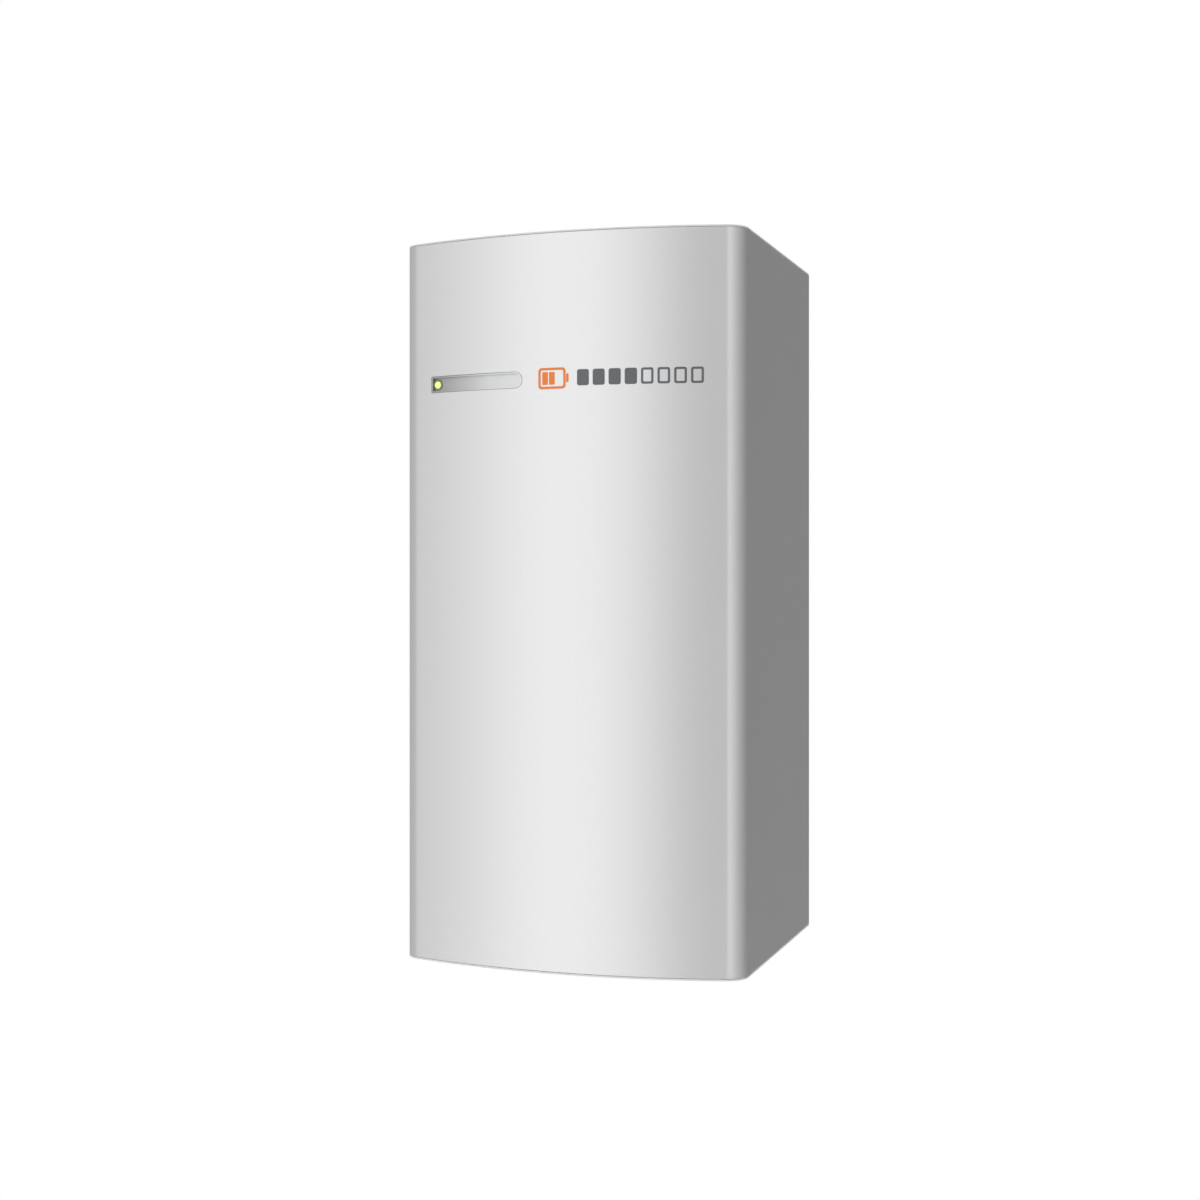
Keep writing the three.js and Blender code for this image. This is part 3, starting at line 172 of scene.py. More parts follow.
def round_places(x, z, radius, count):
    """Places spread evenly round a centre on the front."""
    turns = [2 * math.pi * i / count for i in range(count)]
    return [(x + radius * math.cos(turn), z + radius * math.sin(turn)) for turn in turns]


def pin_places():
    """Where the cover's four locating pins enter the support frames."""
    places = []
    for end in ("top", "bottom"):
        low, _, middle = extent(f"support_frame_{end}")
        places += [(side * (HALF_WIDTH - PIN_INSET), low.y, middle.z) for side in (-1, 1)]
    return places


def walk(start, end):
    """The vertices of a chain of edges, in order."""
    order, last = [start], None
    while order[-1] is not end:
        others = [edge.other_vert(order[-1]) for edge in order[-1].link_edges]
        step = next(other for other in others if other is not last)
        last = order[-1]
        order.append(step)
    return order


# ------------------------------------------------------------------ solids
def round_edges(bm, edge, segments=2, angle=FACET, along=None):
    """Rounds the edges sharper than an angle, or only those that run along one axis."""
    chosen = [e for e in bm.edges if e.is_manifold and e.calc_face_angle(0.0) > angle]
    if along is not None:
        chosen = [e for e in chosen if abs((e.verts[0].co - e.verts[1].co).normalized()[along]) > 0.99]
    bmesh.ops.bevel(
        bm, geom=chosen, offset=edge, offset_type="OFFSET", affect="EDGES", segments=segments,
        profile=0.5, material=-1, clamp_overlap=True,
    )
    return bm


def block(low, high, edge=0.0, segments=2):
    """A box between two corners, with its edges rounded."""
    bm = bmesh.new()
    bmesh.ops.create_cube(bm, size=1.0)
    low, high = Vector(low), Vector(high)
    bmesh.ops.scale(bm, vec=high - low, verts=bm.verts)
    bmesh.ops.translate(bm, vec=(low + high) / 2, verts=bm.verts)
    if edge:
        round_edges(bm, edge, segments)
    return bm


def pad(x, z, wide, tall, near, far, edge=0.0, segments=2):
    """A box centred on a place on the front: its width, height and edge are in millimetres."""
    half_wide, half_tall = wide * MM / 2, tall * MM / 2
    low, high = (x - half_wide, near, z - half_tall), (x + half_wide, far, z + half_tall)
    return block(low, high, edge * MM, segments)


def turned(profile, centre, axis, steps=40):
    """A solid of revolution: the profile's points are (distance along the axis, radius)."""
    bm = bmesh.new()
    axis, centre = Vector(axis), Vector(centre)
    side = axis.orthogonal().normalized()
    points = [bm.verts.new(centre + axis * along + side * radius) for along, radius in profile]
    line = [bm.edges.new(pair) for pair in zip(points, points[1:])]
    bmesh.ops.spin(
        bm, geom=points + line, cent=centre, axis=axis, dvec=(0, 0, 0), angle=2 * math.pi, steps=steps,
        use_merge=True, use_duplicate=False,
    )
    bmesh.ops.remove_doubles(bm, verts=bm.verts, dist=CLOSE)
    bmesh.ops.recalc_face_normals(bm, faces=bm.faces)
    return bm


def rod(start, end, radius, edge=0.0, steps=32):
    """A round bar from one point to another, with its rims rounded."""
    start, end = Vector(start), Vector(end)
    length = (end - start).length
    edge = max(edge, 0.02 * MM)
    profile = [
        (0, 0), (0, radius - edge), (edge, radius), (length - edge, radius), (length, radius - edge),
        (length, 0),
    ]
    return turned(profile, start, (end - start).normalized(), steps)


def arc_on(bm, start, centre, axis, angle, steps):
    """Runs an outline on from a vertex round an arc, and gives its last vertex."""
    made = bmesh.ops.spin(
        bm, geom=[start], cent=centre, axis=axis, dvec=(0, 0, 0), angle=angle, steps=steps,
        use_merge=False, use_duplicate=False,
    )
    return next(v for v in made["geom_last"] if isinstance(v, bmesh.types.BMVert))


def raised(bm, outline, direction):
    """Fills a closed outline and extrudes it."""
    face = bm.faces.new(outline)
    made = bmesh.ops.extrude_face_region(bm, geom=[face])
    moved = [v for v in made["geom"] if isinstance(v, bmesh.types.BMVert)]
    bmesh.ops.translate(bm, vec=direction, verts=moved)
    bmesh.ops.recalc_face_normals(bm, faces=bm.faces)
    return bm


def joined(solids):
    """Several solids as one, without cutting them."""
    whole = bmesh.new()
    for solid in solids:
        mesh = bpy.data.meshes.new("part")
        solid.to_mesh(mesh)
        solid.free()
        whole.from_mesh(mesh)
        bpy.data.meshes.remove(mesh)
    return whole


def carve(solid, tool, operation="DIFFERENCE"):
    """A solid cut by a tool, joined to it, or kept only inside it."""
    holders = []
    for bm in (solid, tool):
        mesh = bpy.data.meshes.new("carving")
        bm.to_mesh(mesh)
        bm.free()
        holders.append(bpy.data.objects.new("carving", mesh))
        bpy.context.scene.collection.objects.link(holders[-1])
    modifier = holders[0].modifiers.new("carve", "BOOLEAN")
    modifier.solver = "EXACT"
    modifier.operation = operation
    modifier.object = holders[1]
    graph = bpy.context.evaluated_depsgraph_get()
    result = bpy.data.meshes.new_from_object(holders[0].evaluated_get(graph), depsgraph=graph)
    made = bmesh.new()
    made.from_mesh(result)
    meshes = [result, *(holder.data for holder in holders)]
    for holder in holders:
        bpy.data.objects.remove(holder)
    for mesh in meshes:
        bpy.data.meshes.remove(mesh)
    bmesh.ops.remove_doubles(made, verts=made.verts, dist=CLOSE)
    return made


def softened(node, edge):
    """A merged copy of a CAD node, with its sharp edges rounded."""
    bm = bmesh.new()
    bm.from_mesh(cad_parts[node].data)
    bmesh.ops.remove_doubles(bm, verts=bm.verts, dist=CLOSE)
    bmesh.ops.dissolve_limit(
        bm, angle_limit=FLAT, use_dissolve_boundaries=False, verts=bm.verts, edges=bm.edges
    )
    return round_edges(bm, edge)


# ------------------------------------------------------------------ pieces
def piece(name, solids, look, *nodes, body="battery_unit", even=False):
    """A finished piece: solids with one look, riding on a body, in place of the CAD nodes named."""
    material, slot = look
    mesh = bpy.data.meshes.new(name)
    whole = joined(solids)
    whole.to_mesh(mesh)
    whole.free()
    mesh.shade_smooth()
    mesh.set_sharp_from_angle(angle=FACET)
    mesh.materials.append(material)
    made = bpy.data.objects.new(name, mesh)
    bpy.context.scene.collection.objects.link(made)
    if even:
        normals = made.modifiers.new("even_normals", "WEIGHTED_NORMAL")
        normals.keep_sharp = True
    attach(made, body)
    if nodes:
        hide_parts(*nodes)


def softened_piece(node, look, edge, body="battery_unit"):
    """A piece that keeps its node's shape, with its edges rounded by some millimetres."""
    piece(f"{node}_finished", [softened(node, edge * MM)], look, node, body=body, even=True)


# ------------------------------------------------------------------ materials
class Recipe:
    """A material being made: its nodes and links, its shader, and its Object coordinates."""

    def __init__(self, name):
        self.material = bpy.data.materials.new(name)
        self.material.use_nodes = True
        self.nodes, self.links = self.material.node_tree.nodes, self.material.node_tree.links
        self.shader = self.nodes["Principled BSDF"]
        self.place = self.nodes.new("ShaderNodeTexCoord").outputs["Object"]

    def give(self, value, socket):
        """Links a value to a socket of the shader."""
        self.links.new(value, self.shader.inputs[socket])

    def noise(self, scale, detail=3.0, stretch=(1, 1, 1)):
        """A noise whose features are about 1 / scale metres wide, stretched along an axis where asked."""
        mapping = self.nodes.new("ShaderNodeMapping")
        mapping.inputs["Scale"].default_value = stretch
        self.links.new(self.place, mapping.inputs["Vector"])
        texture = self.nodes.new("ShaderNodeTexNoise")
        texture.inputs["Scale"].default_value = scale
        texture.inputs["Detail"].default_value = detail
        self.links.new(mapping.outputs["Vector"], texture.inputs["Vector"])
        return texture.outputs["Fac"]

    def spread_over(self, value, low, high, start=0.3, end=0.7):
        """A value remapped to a range."""
        made = self.nodes.new("ShaderNodeMapRange")
        for socket, level in (("From Min", start), ("From Max", end), ("To Min", low), ("To Max", high)):
            made.inputs[socket].default_value = level
        self.links.new(value, made.inputs["Value"])
        return made.outputs["Result"]

    def two_tones(self, value, first, second, start=0.3, end=0.7):
        """A ramp between two colours."""
        made = self.nodes.new("ShaderNodeValToRGB")
        for element, place, colour in zip(made.color_ramp.elements, (start, end), (first, second)):
            element.position = place
            element.color = (*colour, 1)
        self.links.new(value, made.inputs["Fac"])
        return made.outputs["Color"]


def shaded(colour, factor):
    return tuple(min(1.0, part * factor) for part in colour)


def surface(
    name, colour, roughness, metallic=0.0, mottle=(30, 0.06), grain=(900, 0.03), sheen_spread=0.05,
    stretch=(1, 1, 1), coat=0.0, specular=0.5,
):
    """A finish with uneven colour, uneven gloss and a fine grain."""
    made = Recipe(name)
    scale, amount = mottle
    tones = shaded(colour, 1 - amount), shaded(colour, 1 + amount)
    made.give(made.two_tones(made.noise(scale, 4, stretch), *tones), "Base Color")
    gloss = made.noise(scale * 2.3, 3, stretch)
    made.give(made.spread_over(gloss, roughness - sheen_spread, roughness + sheen_spread), "Roughness")
    bump = made.nodes.new("ShaderNodeBump")
    bump.inputs["Strength"].default_value = 0.35
    bump.inputs["Distance"].default_value = grain[1] * MM
    made.links.new(made.noise(grain[0], 2, stretch), bump.inputs["Height"])
    made.give(bump.outputs["Normal"], "Normal")
    made.shader.inputs["Metallic"].default_value = metallic
    made.shader.inputs["Coat Weight"].default_value = coat
    made.shader.inputs["Specular IOR Level"].default_value = specular
    return made


SHEATH = 0.42, 0, (240, 0.10), (1100, 0.04), {"sheen_spread": 0.06}
INK = 0.45, 0, (400, 0.05), (3000, 0.01), {}
FINISHES = {  # slot, colour, roughness, metallic, mottle, grain, and what else surface() is given
    "cover_paint": ("cover_paint", None, 0.36, 0.75, (1400, 0.035), (650, 0.012), {"sheen_spread": 0.02}),
    "cap_plastic": ("cap_plastic", None, 0.5, 0, (160, 0.04), (2600, 0.05), {}),
    "orange_ink": ("cover_paint", None, *INK),
    "grey_ink": ("cover_paint", (0.11, 0.115, 0.125), *INK),
    "white_ink": ("grey_plastic", (0.8, 0.8, 0.78), *INK),
    "ring_plastic": ("lens_plastic", (0.27, 0.27, 0.15), 0.35, 0, (300, 0.1), (2500, 0.02), {}),
    "status_lens": ("lens_plastic", (0.05, 0.45, 0.12), 0.2, 0, (300, 0.1), (900, 0.01), {"coat": 0.6}),
    "pin_zinc": ("zinc_steel", (0.5, 0.5, 0.51), 0.4, 1.0, (30, 0.06), (900, 0.03), {}),
    "zinc_sheet": (
        "zinc_steel", (0.50, 0.51, 0.52), 0.42, 0.9, (110, 0.13), (700, 0.02), {"sheen_spread": 0.07},
    ),
    "plated_bolt": ("bolt_steel", (0.46, 0.46, 0.45), 0.32, 1.0, (500, 0.1), (1500, 0.02), {}),
    "black_powder": ("bolt_steel", (0.022, 0.022, 0.024), 0.5, 0.1, (200, 0.15), (1300, 0.06), {}),
    "matt_rubber": ("black_rubber", (0.02, 0.02, 0.021), 0.82, 0, (150, 0.2), (900, 0.06), {"specular": 0.3}),
    "die_casting": (
        "cast_aluminium", (0.44, 0.445, 0.45), 0.48, 0.85, (45, 0.10), (420, 0.10), {"sheen_spread": 0.08},
    ),
    "dark_casting": (
        "inverter_case", (0.045, 0.048, 0.053), 0.46, 0.55, (60, 0.18), (520, 0.08), {"sheen_spread": 0.07},
    ),
    "black_moulding": ("black_plastic", (0.018, 0.018, 0.02), 0.48, 0, (250, 0.2), (2200, 0.05), {}),
    "grey_moulding": ("grey_plastic", (0.155, 0.16, 0.166), 0.5, 0, (180, 0.07), (2000, 0.05), {}),
    "pale_moulding": ("grey_plastic", (0.62, 0.62, 0.6), 0.45, 0, (200, 0.05), (1800, 0.03), {}),
    "orange_moulding": ("orange_plastic", (0.78, 0.19, 0.02), 0.34, 0, (220, 0.06), (1800, 0.02), {}),
    "grey_powder": ("grey_paint", (0.33, 0.335, 0.345), 0.52, 0.15, (90, 0.05), (1000, 0.07), {}),
    "blue_wrap": ("cell_wrap", (0.035, 0.12, 0.36), 0.33, 0.1, (70, 0.12), (160, 0.08), {"coat": 0.3}),
    "bare_copper": (
        "copper", (0.72, 0.33, 0.17), 0.3, 1.0, (140, 0.14), (900, 0.02), {"stretch": (1, 1, 0.15)},
    ),
    "bare_brass": ("brass", (0.66, 0.46, 0.17), 0.3, 1.0, (160, 0.12), (900, 0.02), {"stretch": (0.2, 1, 1)}),
    "black_sheath": ("black_sheath", (0.02, 0.02, 0.022), *SHEATH),
    "red_sheath": ("red_sheath", (0.42, 0.018, 0.015), *SHEATH),
    "grey_sheath": ("grey_sheath", (0.20, 0.205, 0.21), *SHEATH),
}
made_looks = {}


def look_of(name, colour=None):
    """A finish's material and slot: made once, or each time with the colour that the settings hold."""
    if colour is not None or name not in made_looks:
        slot, plain, roughness, metallic, mottle, grain, extras = FINISHES[name]
        colour = plain if colour is None else colour
        recipe = surface(name, colour, roughness, metallic, mottle, grain, **extras)
        made_looks[name] = recipe.material, slot
    return made_looks[name]


def looks(*names):
    return [look_of(name) for name in names]


def tray_look(start, end):
    """Satin plastic with painted shade: darker round the light at the window's left end, where the recess
    shades its floor, and pale from there on.
    """
    made = surface("tray_plastic", (0.7, 0.71, 0.71), 0.34, 0.8, (120, 0.03), (2200, 0.03))
    # painted shade: the base colour runs from dark near the light to pale further right, standing in for the
    # recess's shadow
    parts = made.nodes.new("ShaderNodeSeparateXYZ")
    made.links.new(made.place, parts.inputs["Vector"])
    share = made.spread_over(parts.outputs["X"], 0, 1, start, end)
    made.give(made.two_tones(share, (0.42, 0.43, 0.42), (0.67, 0.68, 0.68), 0.0, 1.0), "Base Color")
    return made.material, "tray_plastic"


def lens_look(colour):
    """A clear dome lit from behind, with an uneven glow."""
    made = Recipe("lens_plastic")
    made.give(made.two_tones(made.noise(700, 2), shaded(colour, 0.92), colour), "Base Color")
    made.give(made.two_tones(made.noise(260, 1), shaded(colour, 0.8), colour), "Emission Color")
    made.shader.inputs["Emission Strength"].default_value = 0.62
    made.shader.inputs["Roughness"].default_value = 0.18
    return made.material, "lens_plastic"


def board_look():
    """Green board with paler tracks under its mask."""
    made = Recipe("solder_mask")
    tracks = made.noise(130, 1, (1, 1, 0.12))
    made.give(made.two_tones(tracks, (0.006, 0.075, 0.03), (0.012, 0.15, 0.06), 0.49, 0.52), "Base Color")
    made.give(made.spread_over(made.noise(300), 0.22, 0.38), "Roughness")
    return made.material, "circuit_board"


# ------------------------------------------------------------------ the cover's shape
def crown_radius(cover):
    return (HALF_WIDTH ** 2 + cover.crown ** 2) / (2 * cover.crown)


def crown_centre(cover):
    return CROWN + crown_radius(cover)


def skin_y(cover, x, inward=0.0):
    """Where the skin lies at x, measured in from its outer face."""
    return crown_centre(cover) - math.sqrt((crown_radius(cover) - inward) ** 2 - x ** 2)


def cover_prism(cover, inward, low, high, back=COVER_BACK):
    """The cover's plan, drawn in from its outer face, raised between two levels."""
    side = HALF_WIDTH - inward
    centre_y = crown_centre(cover)
    corner_x = HALF_WIDTH - cover.corner
    corner_y = centre_y - math.sqrt((crown_radius(cover) - cover.corner) ** 2 - corner_x ** 2)
    lean = math.atan2(corner_x, centre_y - corner_y)
    bm = bmesh.new()
    start = bm.verts.new((-side, back, low))
    turn = bm.verts.new((-side, corner_y, low))
    bm.edges.new((start, turn))
    for centre, angle, steps in (
        ((-corner_x, corner_y, low), QUARTER - lean, 20), ((0, centre_y, low), 2 * lean, 72),
        ((corner_x, corner_y, low), QUARTER - lean, 20),
    ):
        turn = arc_on(bm, turn, centre, UPWARD, angle, steps)
    end = bm.verts.new((side, back, low))
    bm.edges.new((turn, end))
    return raised(bm, walk(start, end), (0, 0, high - low))


def cover_layer(cover, outer, inner, low, high):
    """The part of the cover's plan between two depths."""
    core = cover_prism(cover, inner, low - MM, high + MM, COVER_BACK + MM)
    return carve(cover_prism(cover, outer, low, high), core)


def window_prism(settings, grow):
    """The indicator's window through the front: square on its left, round on its right."""
    front, back = CROWN - 10 * MM, CROWN + 40 * MM
    left = tray_low.x + TRAY_FLANGE - grow
    half = settings.height / 2 + grow
    right = tray_high.x - TRAY_FLANGE - settings.height / 2
    bm = bmesh.new()
    start = bm.verts.new((left, front, TRAY_LEVEL - half))
    first = bm.verts.new((right, front, TRAY_LEVEL - half))
    bm.edges.new((start, first))
    last = arc_on(bm, first, (right, front, TRAY_LEVEL), FORWARD, math.pi, 28)
    end = bm.verts.new((left, front, TRAY_LEVEL + half))
    bm.edges.new((last, end))
    return raised(bm, walk(start, end), (0, back - front, 0))


class BATTERY_OT_cover(bpy.types.Operator):
    """Makes the wrapped skin of the front cover, with its window and its four locating pins"""

    bl_idname = "battery.cover"
    bl_label = "Cover skin"

    def execute(self, context):
        cover, indicator = context.scene.battery_cover, context.scene.battery_indicator
        wall, rear_lip = cover.wall, 5 * MM
        over, under = SHELL_TOP + MM, -SHELL_TOP - MM
        skin = cover_prism(cover, 0, -SHELL_TOP, SHELL_TOP)
        inside = cover_prism(cover, wall, under, over, COVER_BACK - wall)
        mouth_half = HALF_WIDTH - wall - rear_lip
        mouth = block((-mouth_half, COVER_BACK - 2 * wall, under), (mouth_half, COVER_BACK + MM, over))
        skin = carve(carve(carve(skin, inside), mouth), window_prism(indicator, 0))
        round_edges(skin, 0.35 * MM)
        paint = look_of("cover_paint", cover.paint)
        piece("cover_skin", [skin], paint, "cover_shell", body="front_cover", even=True)
        pins = []
        pin_radius, pin_past, boss_radius, boss_thick = 4.5 * MM, 8 * MM, 9 * MM, 3 * MM
        for x, y, z in pin_places():
            root = skin_y(cover, x, wall)
            pins.append(rod((x, root, z), (x, y + pin_past, z), pin_radius, 1.2 * MM))
            pins.append(rod((x, root, z), (x, root + boss_thick, z), boss_radius, 0.8 * MM))
        piece("cover_pins", pins, look_of("pin_zinc"), body="front_cover")
        return {"FINISHED"}


class BATTERY_OT_caps(bpy.types.Operator):
    """Makes the two moulded end caps, with their rims, skirts, vent slots and the bay for the conduits"""

    bl_idname = "battery.caps"
    bl_label = "End caps"

    def execute(self, context):
        cover = context.scene.battery_cover
        plastic = look_of("cap_plastic", cover.rim)
        slot_count, slot_pitch, slot_half, slot_long = 15, 14 * MM, 3 * MM, 62 * MM
        bay_half, bay_front = 95 * MM, COVER_BACK - 93 * MM
        skirt_outer, skirt_thick, skirt_deep = cover.wall + FIT, 2 * MM, 12 * MM
        for name, side in (("top", 1), ("bottom", -1)):
            low, high = sorted((side * (SHELL_TOP + FIT), side * CAP_TOP))
            holes = []
            for i in range(slot_count):
                x = (i - slot_count // 2) * slot_pitch
                front = skin_y(cover, x, 34 * MM)
                hole = block(
                    (x - slot_half, front, low - 2 * MM), (x + slot_half, front + slot_long, high + 2 * MM)
                )
                holes.append(round_edges(hole, slot_half - 0.1 * MM, 6, along=2))
            if side < 0:
                bay = block((-bay_half, bay_front, low - MM), (bay_half, COVER_BACK + 5 * MM, high + MM))
                holes.append(round_edges(bay, 6 * MM, 5, along=2))
            plate = carve(cover_prism(cover, 0, low, high), joined(holes))
            round_edges(plate, 0.5 * MM, 3)
            skirt = sorted((side * (SHELL_TOP - skirt_deep), side * (SHELL_TOP + FIT + 0.2 * MM)))
            ring = cover_layer(cover, skirt_outer, skirt_outer + skirt_thick, *skirt)
            keep = block(
                (-HALF_WIDTH, CROWN, skirt[0] - MM), (HALF_WIDTH, COVER_BACK - 5 * MM, skirt[1] + MM)
            )
            solids = [plate, carve(ring, keep, "INTERSECT")]
            piece(
                f"{name}_cap_moulding", solids, plastic, f"cover_{name}_cap", body="front_cover", even=True
            )
        return {"FINISHED"}


class BATTERY_OT_indicator(bpy.types.Operator):
    """Makes the indicator's tray, the dark ring round its light, and the lit pipe"""

    bl_idname = "battery.indicator"
    bl_label = "Indicator"

    def execute(self, context):
        cover, settings = context.scene.battery_cover, context.scene.battery_indicator
        low, high = TRAY_LEVEL - settings.height, TRAY_LEVEL + settings.height
        floor = settings.depth + settings.wall

        def layer(grow, outer, inner):
            """The part of the window, grown by some, that lies between two depths of the cover."""
            sheet = cover_layer(cover, outer, inner, low, high)
            return carve(window_prism(settings, grow), sheet, "INTERSECT")

        flange = layer(TRAY_FLANGE, cover.wall + FIT, floor)
        cup = layer(-FIT, FIT, floor)
        hollow = layer(-FIT - settings.wall, -2 * MM, settings.depth)
        lens_x = (pipe_low.x + pipe_high.x) / 2 - 1.2 * MM
        lens_radius = 3.3 * MM
        start, end = (lens_x, CROWN - 10 * MM, TRAY_LEVEL), (lens_x, CROWN + 40 * MM, TRAY_LEVEL)
        hole = rod(start, end, lens_radius + FIT)
        tray = carve(carve(carve(flange, cup, "UNION"), hollow), hole)
        round_edges(tray, 0.2 * MM)
        # the tray's floor carries painted shade, darker near the light and paler to the right
        tray_with_painted_shade = tray_look(lens_x + 5 * MM, lens_x + 55 * MM)
        piece("indicator_window", [tray], tray_with_painted_shade, "indicator_tray", body="front_cover", even=True)
        facing = Vector((lens_x, skin_y(cover, lens_x) - crown_centre(cover), 0)).normalized()
        profile = in_mm(
            (-0.6, 5.1), (0.5, 5.1), (0.8, 4.8), (0.8, 3.6), (0.5, 3.35), (-0.6, 3.35), (-0.6, 5.1)
        )
        ring = turned(profile, (lens_x, skin_y(cover, lens_x, settings.depth), TRAY_LEVEL), facing, 48)
        piece("light_ring", [ring], look_of("ring_plastic"), body="front_cover")
        length = pipe_high.y - pipe_low.y
        collar = skin_y(cover, lens_x, floor) + 2 * MM - pipe_low.y
        collar_end, collar_radius, rim = collar + 4 * MM, 6 * MM, 0.4 * MM
        profile = in_mm((0, 0), (0.12, 1.3), (0.5, 2.3), (1.2, 3.0)) + [
            (2.2 * MM, lens_radius), (collar, lens_radius), (collar, collar_radius),
            (collar_end, collar_radius), (collar_end, lens_radius), (length - rim, lens_radius),
            (length, lens_radius - rim), (length, 0),
        ]
        pipe = turned(profile, (lens_x, pipe_low.y, TRAY_LEVEL), BACKWARD)
        piece("lit_light_pipe", [pipe], lens_look(settings.glow), "light_pipe", body="front_cover")
        return {"FINISHED"}


class BATTERY_OT_mark(bpy.types.Operator):
    """Prints a battery symbol and a row of level blocks right of the window"""

    bl_idname = "battery.mark"
    bl_label = "Printed mark"

    def execute(self, context):
        cover, settings = context.scene.battery_cover, context.scene.battery_indicator
        low, high = TRAY_LEVEL - 20 * MM, TRAY_LEVEL + 20 * MM

        def plate(left, right, half, radius):
            """A plate across the front, in millimetres from the unit's middle and the window's."""
            made = block(
                (left * MM, CROWN - 3 * MM, TRAY_LEVEL - half * MM),
                (right * MM, CROWN + 30 * MM, TRAY_LEVEL + half * MM),
            )
            return round_edges(made, radius * MM, 5, along=1)

        symbol = [carve(plate(-20, 6, 9.5, 3.2), plate(-17.8, 3.8, 7.3, 1.6)), plate(6.4, 8.8, 4, 0.8)]
        symbol += [plate(x, x + 5.4, 5.7, 0.7) for x in (-16.2, -9.7)]
        first, wide, pitch, half, stroke = 16.7, 11.0, 14.5, 7.2, 2.0  # in millimetres, as plate() takes them
        bars = []
        for i in range(settings.blocks):
            start, end = first + i * pitch, first + i * pitch + wide
            bar = plate(start, end, half, 2)
            if i >= settings.blocks // 2:
                bar = carve(bar, plate(start + stroke, end - stroke, half - stroke, 0.8))
            bars.append(bar)
        orange, grey = look_of("orange_ink", settings.mark), look_of("grey_ink")
        for name, shapes, ink in (("battery_symbol", symbol, orange), ("level_blocks", bars, grey)):
            film = cover_layer(cover, -0.12 * MM, 0.2 * MM, low, high)
            printed = carve(joined(shapes), film, "INTERSECT")
            piece(name, [printed], ink, body="front_cover", even=True)
        return {"FINISHED"}


# ------------------------------------------------------------------ fasteners and cables
def hex_head(centre, axis, across, height, washer=0.0):
    """A six-sided bolt head standing on its washer; the axis points out of the surface."""
    axis = Vector(axis)
    radius = across / math.sqrt(3)
    thick = 0.18 * height if washer else 0.0
    bm = bmesh.new()
    bmesh.ops.create_cone(bm, cap_ends=True, segments=6, radius1=radius, radius2=radius, depth=height)
    turn = Vector(UPWARD).rotation_difference(axis).to_matrix().to_4x4()
    middle = Vector(centre) + axis * (thick + height / 2)
    bmesh.ops.transform(bm, matrix=Matrix.Translation(middle) @ turn, verts=bm.verts)
    round_edges(bm, 0.05 * across)
    if not washer:
        return bm
    rim = 0.3 * thick
    profile = [
        (0, 0), (0, washer - rim), (rim, washer), (thick - rim, washer), (thick, washer - rim), (thick, 0)
    ]
    return joined([bm, turned(profile, centre, axis, 32)])


def pan_head(centre, axis, radius, height):
    """A domed screw head with a socket in it."""
    shares = (
        (0, 0), (0, 1), (0.35, 1), (0.75, 0.86), (0.97, 0.62), (1, 0.5), (0.96, 0.42), (0.35, 0.42), (0.3, 0)
    )
    return turned([(along * height, wide * radius) for along, wide in shares], centre, axis, 24)


def front_screws(places, y, radius, height):
    """Pan heads on a face that looks forward: their radius and height are in millimetres."""
    return [pan_head((x, y, z), FORWARD, radius * MM, height * MM) for x, z in places]


def ring_nut(centre, inner, outer, height):
    """A castellated locknut round a conduit's neck."""
    rim, lugs = 0.5 * MM, 8
    profile = [
        (0, inner), (0, outer - MM), (rim, outer), (height - rim, outer), (height, outer - MM),
        (height, inner), (0, inner),
    ]
    solids = [turned(profile, centre, UPWARD)]
    for i in range(lugs):
        turn = Matrix.Rotation(2 * math.pi * i / lugs, 4, "Z")
        lug = block((-2 * MM, -1.2 * MM, 0.6 * MM), (2 * MM, 1.2 * MM, height - 0.3 * MM), 0.4 * MM)
        place = Matrix.Translation(centre) @ turn @ Matrix.Translation((outer, 0, 0))
        bmesh.ops.transform(lug, matrix=place, verts=lug.verts)
        solids.append(lug)
    return joined(solids)


def hose(points, radius, sides=5):
    """A round cable or rod through the given points."""
    data = bpy.data.curves.new("hose", "CURVE")
    data.dimensions = "3D"
    data.bevel_depth = radius
    data.bevel_resolution = sides
    data.resolution_u = 8
    data.use_fill_caps = True
    spline = data.splines.new("BEZIER")
    spline.bezier_points.add(len(points) - 1)
    for knot, point in zip(spline.bezier_points, points):
        knot.co = point
        knot.handle_left_type = knot.handle_right_type = "AUTO"
    holder = bpy.data.objects.new("hose", data)
    bpy.context.scene.collection.objects.link(holder)
    graph = bpy.context.evaluated_depsgraph_get()
    mesh = bpy.data.meshes.new_from_object(holder.evaluated_get(graph), depsgraph=graph)
    bm = bmesh.new()
    bm.from_mesh(mesh)
    bpy.data.objects.remove(holder)
    bpy.data.curves.remove(data)
    bpy.data.meshes.remove(mesh)
    bmesh.ops.remove_doubles(bm, verts=bm.verts, dist=CLOSE)
    bmesh.ops.recalc_face_normals(bm, faces=bm.faces)
    return bm


def boot(centre, axis, radius, length):
    """A ribbed strain relief that tapers along its cable."""
    profile = [(0, 0), (0, radius * 1.75)]
    for i in range(4):
        start, end = length * (0.2 + 0.2 * i), length * (0.2 + 0.2 * (i + 0.55))
        wide, slim = radius * (1.75 - 0.12 * i), radius * (1.32 - 0.05 * i)
        step = 0.02 * length
        profile += [(start, wide), (start + step, slim), (end, slim), (end + step, wide - 0.1 * radius)]
    profile += [(length, radius * 1.25), (length, 0)]
    return turned(profile, centre, axis, 28)


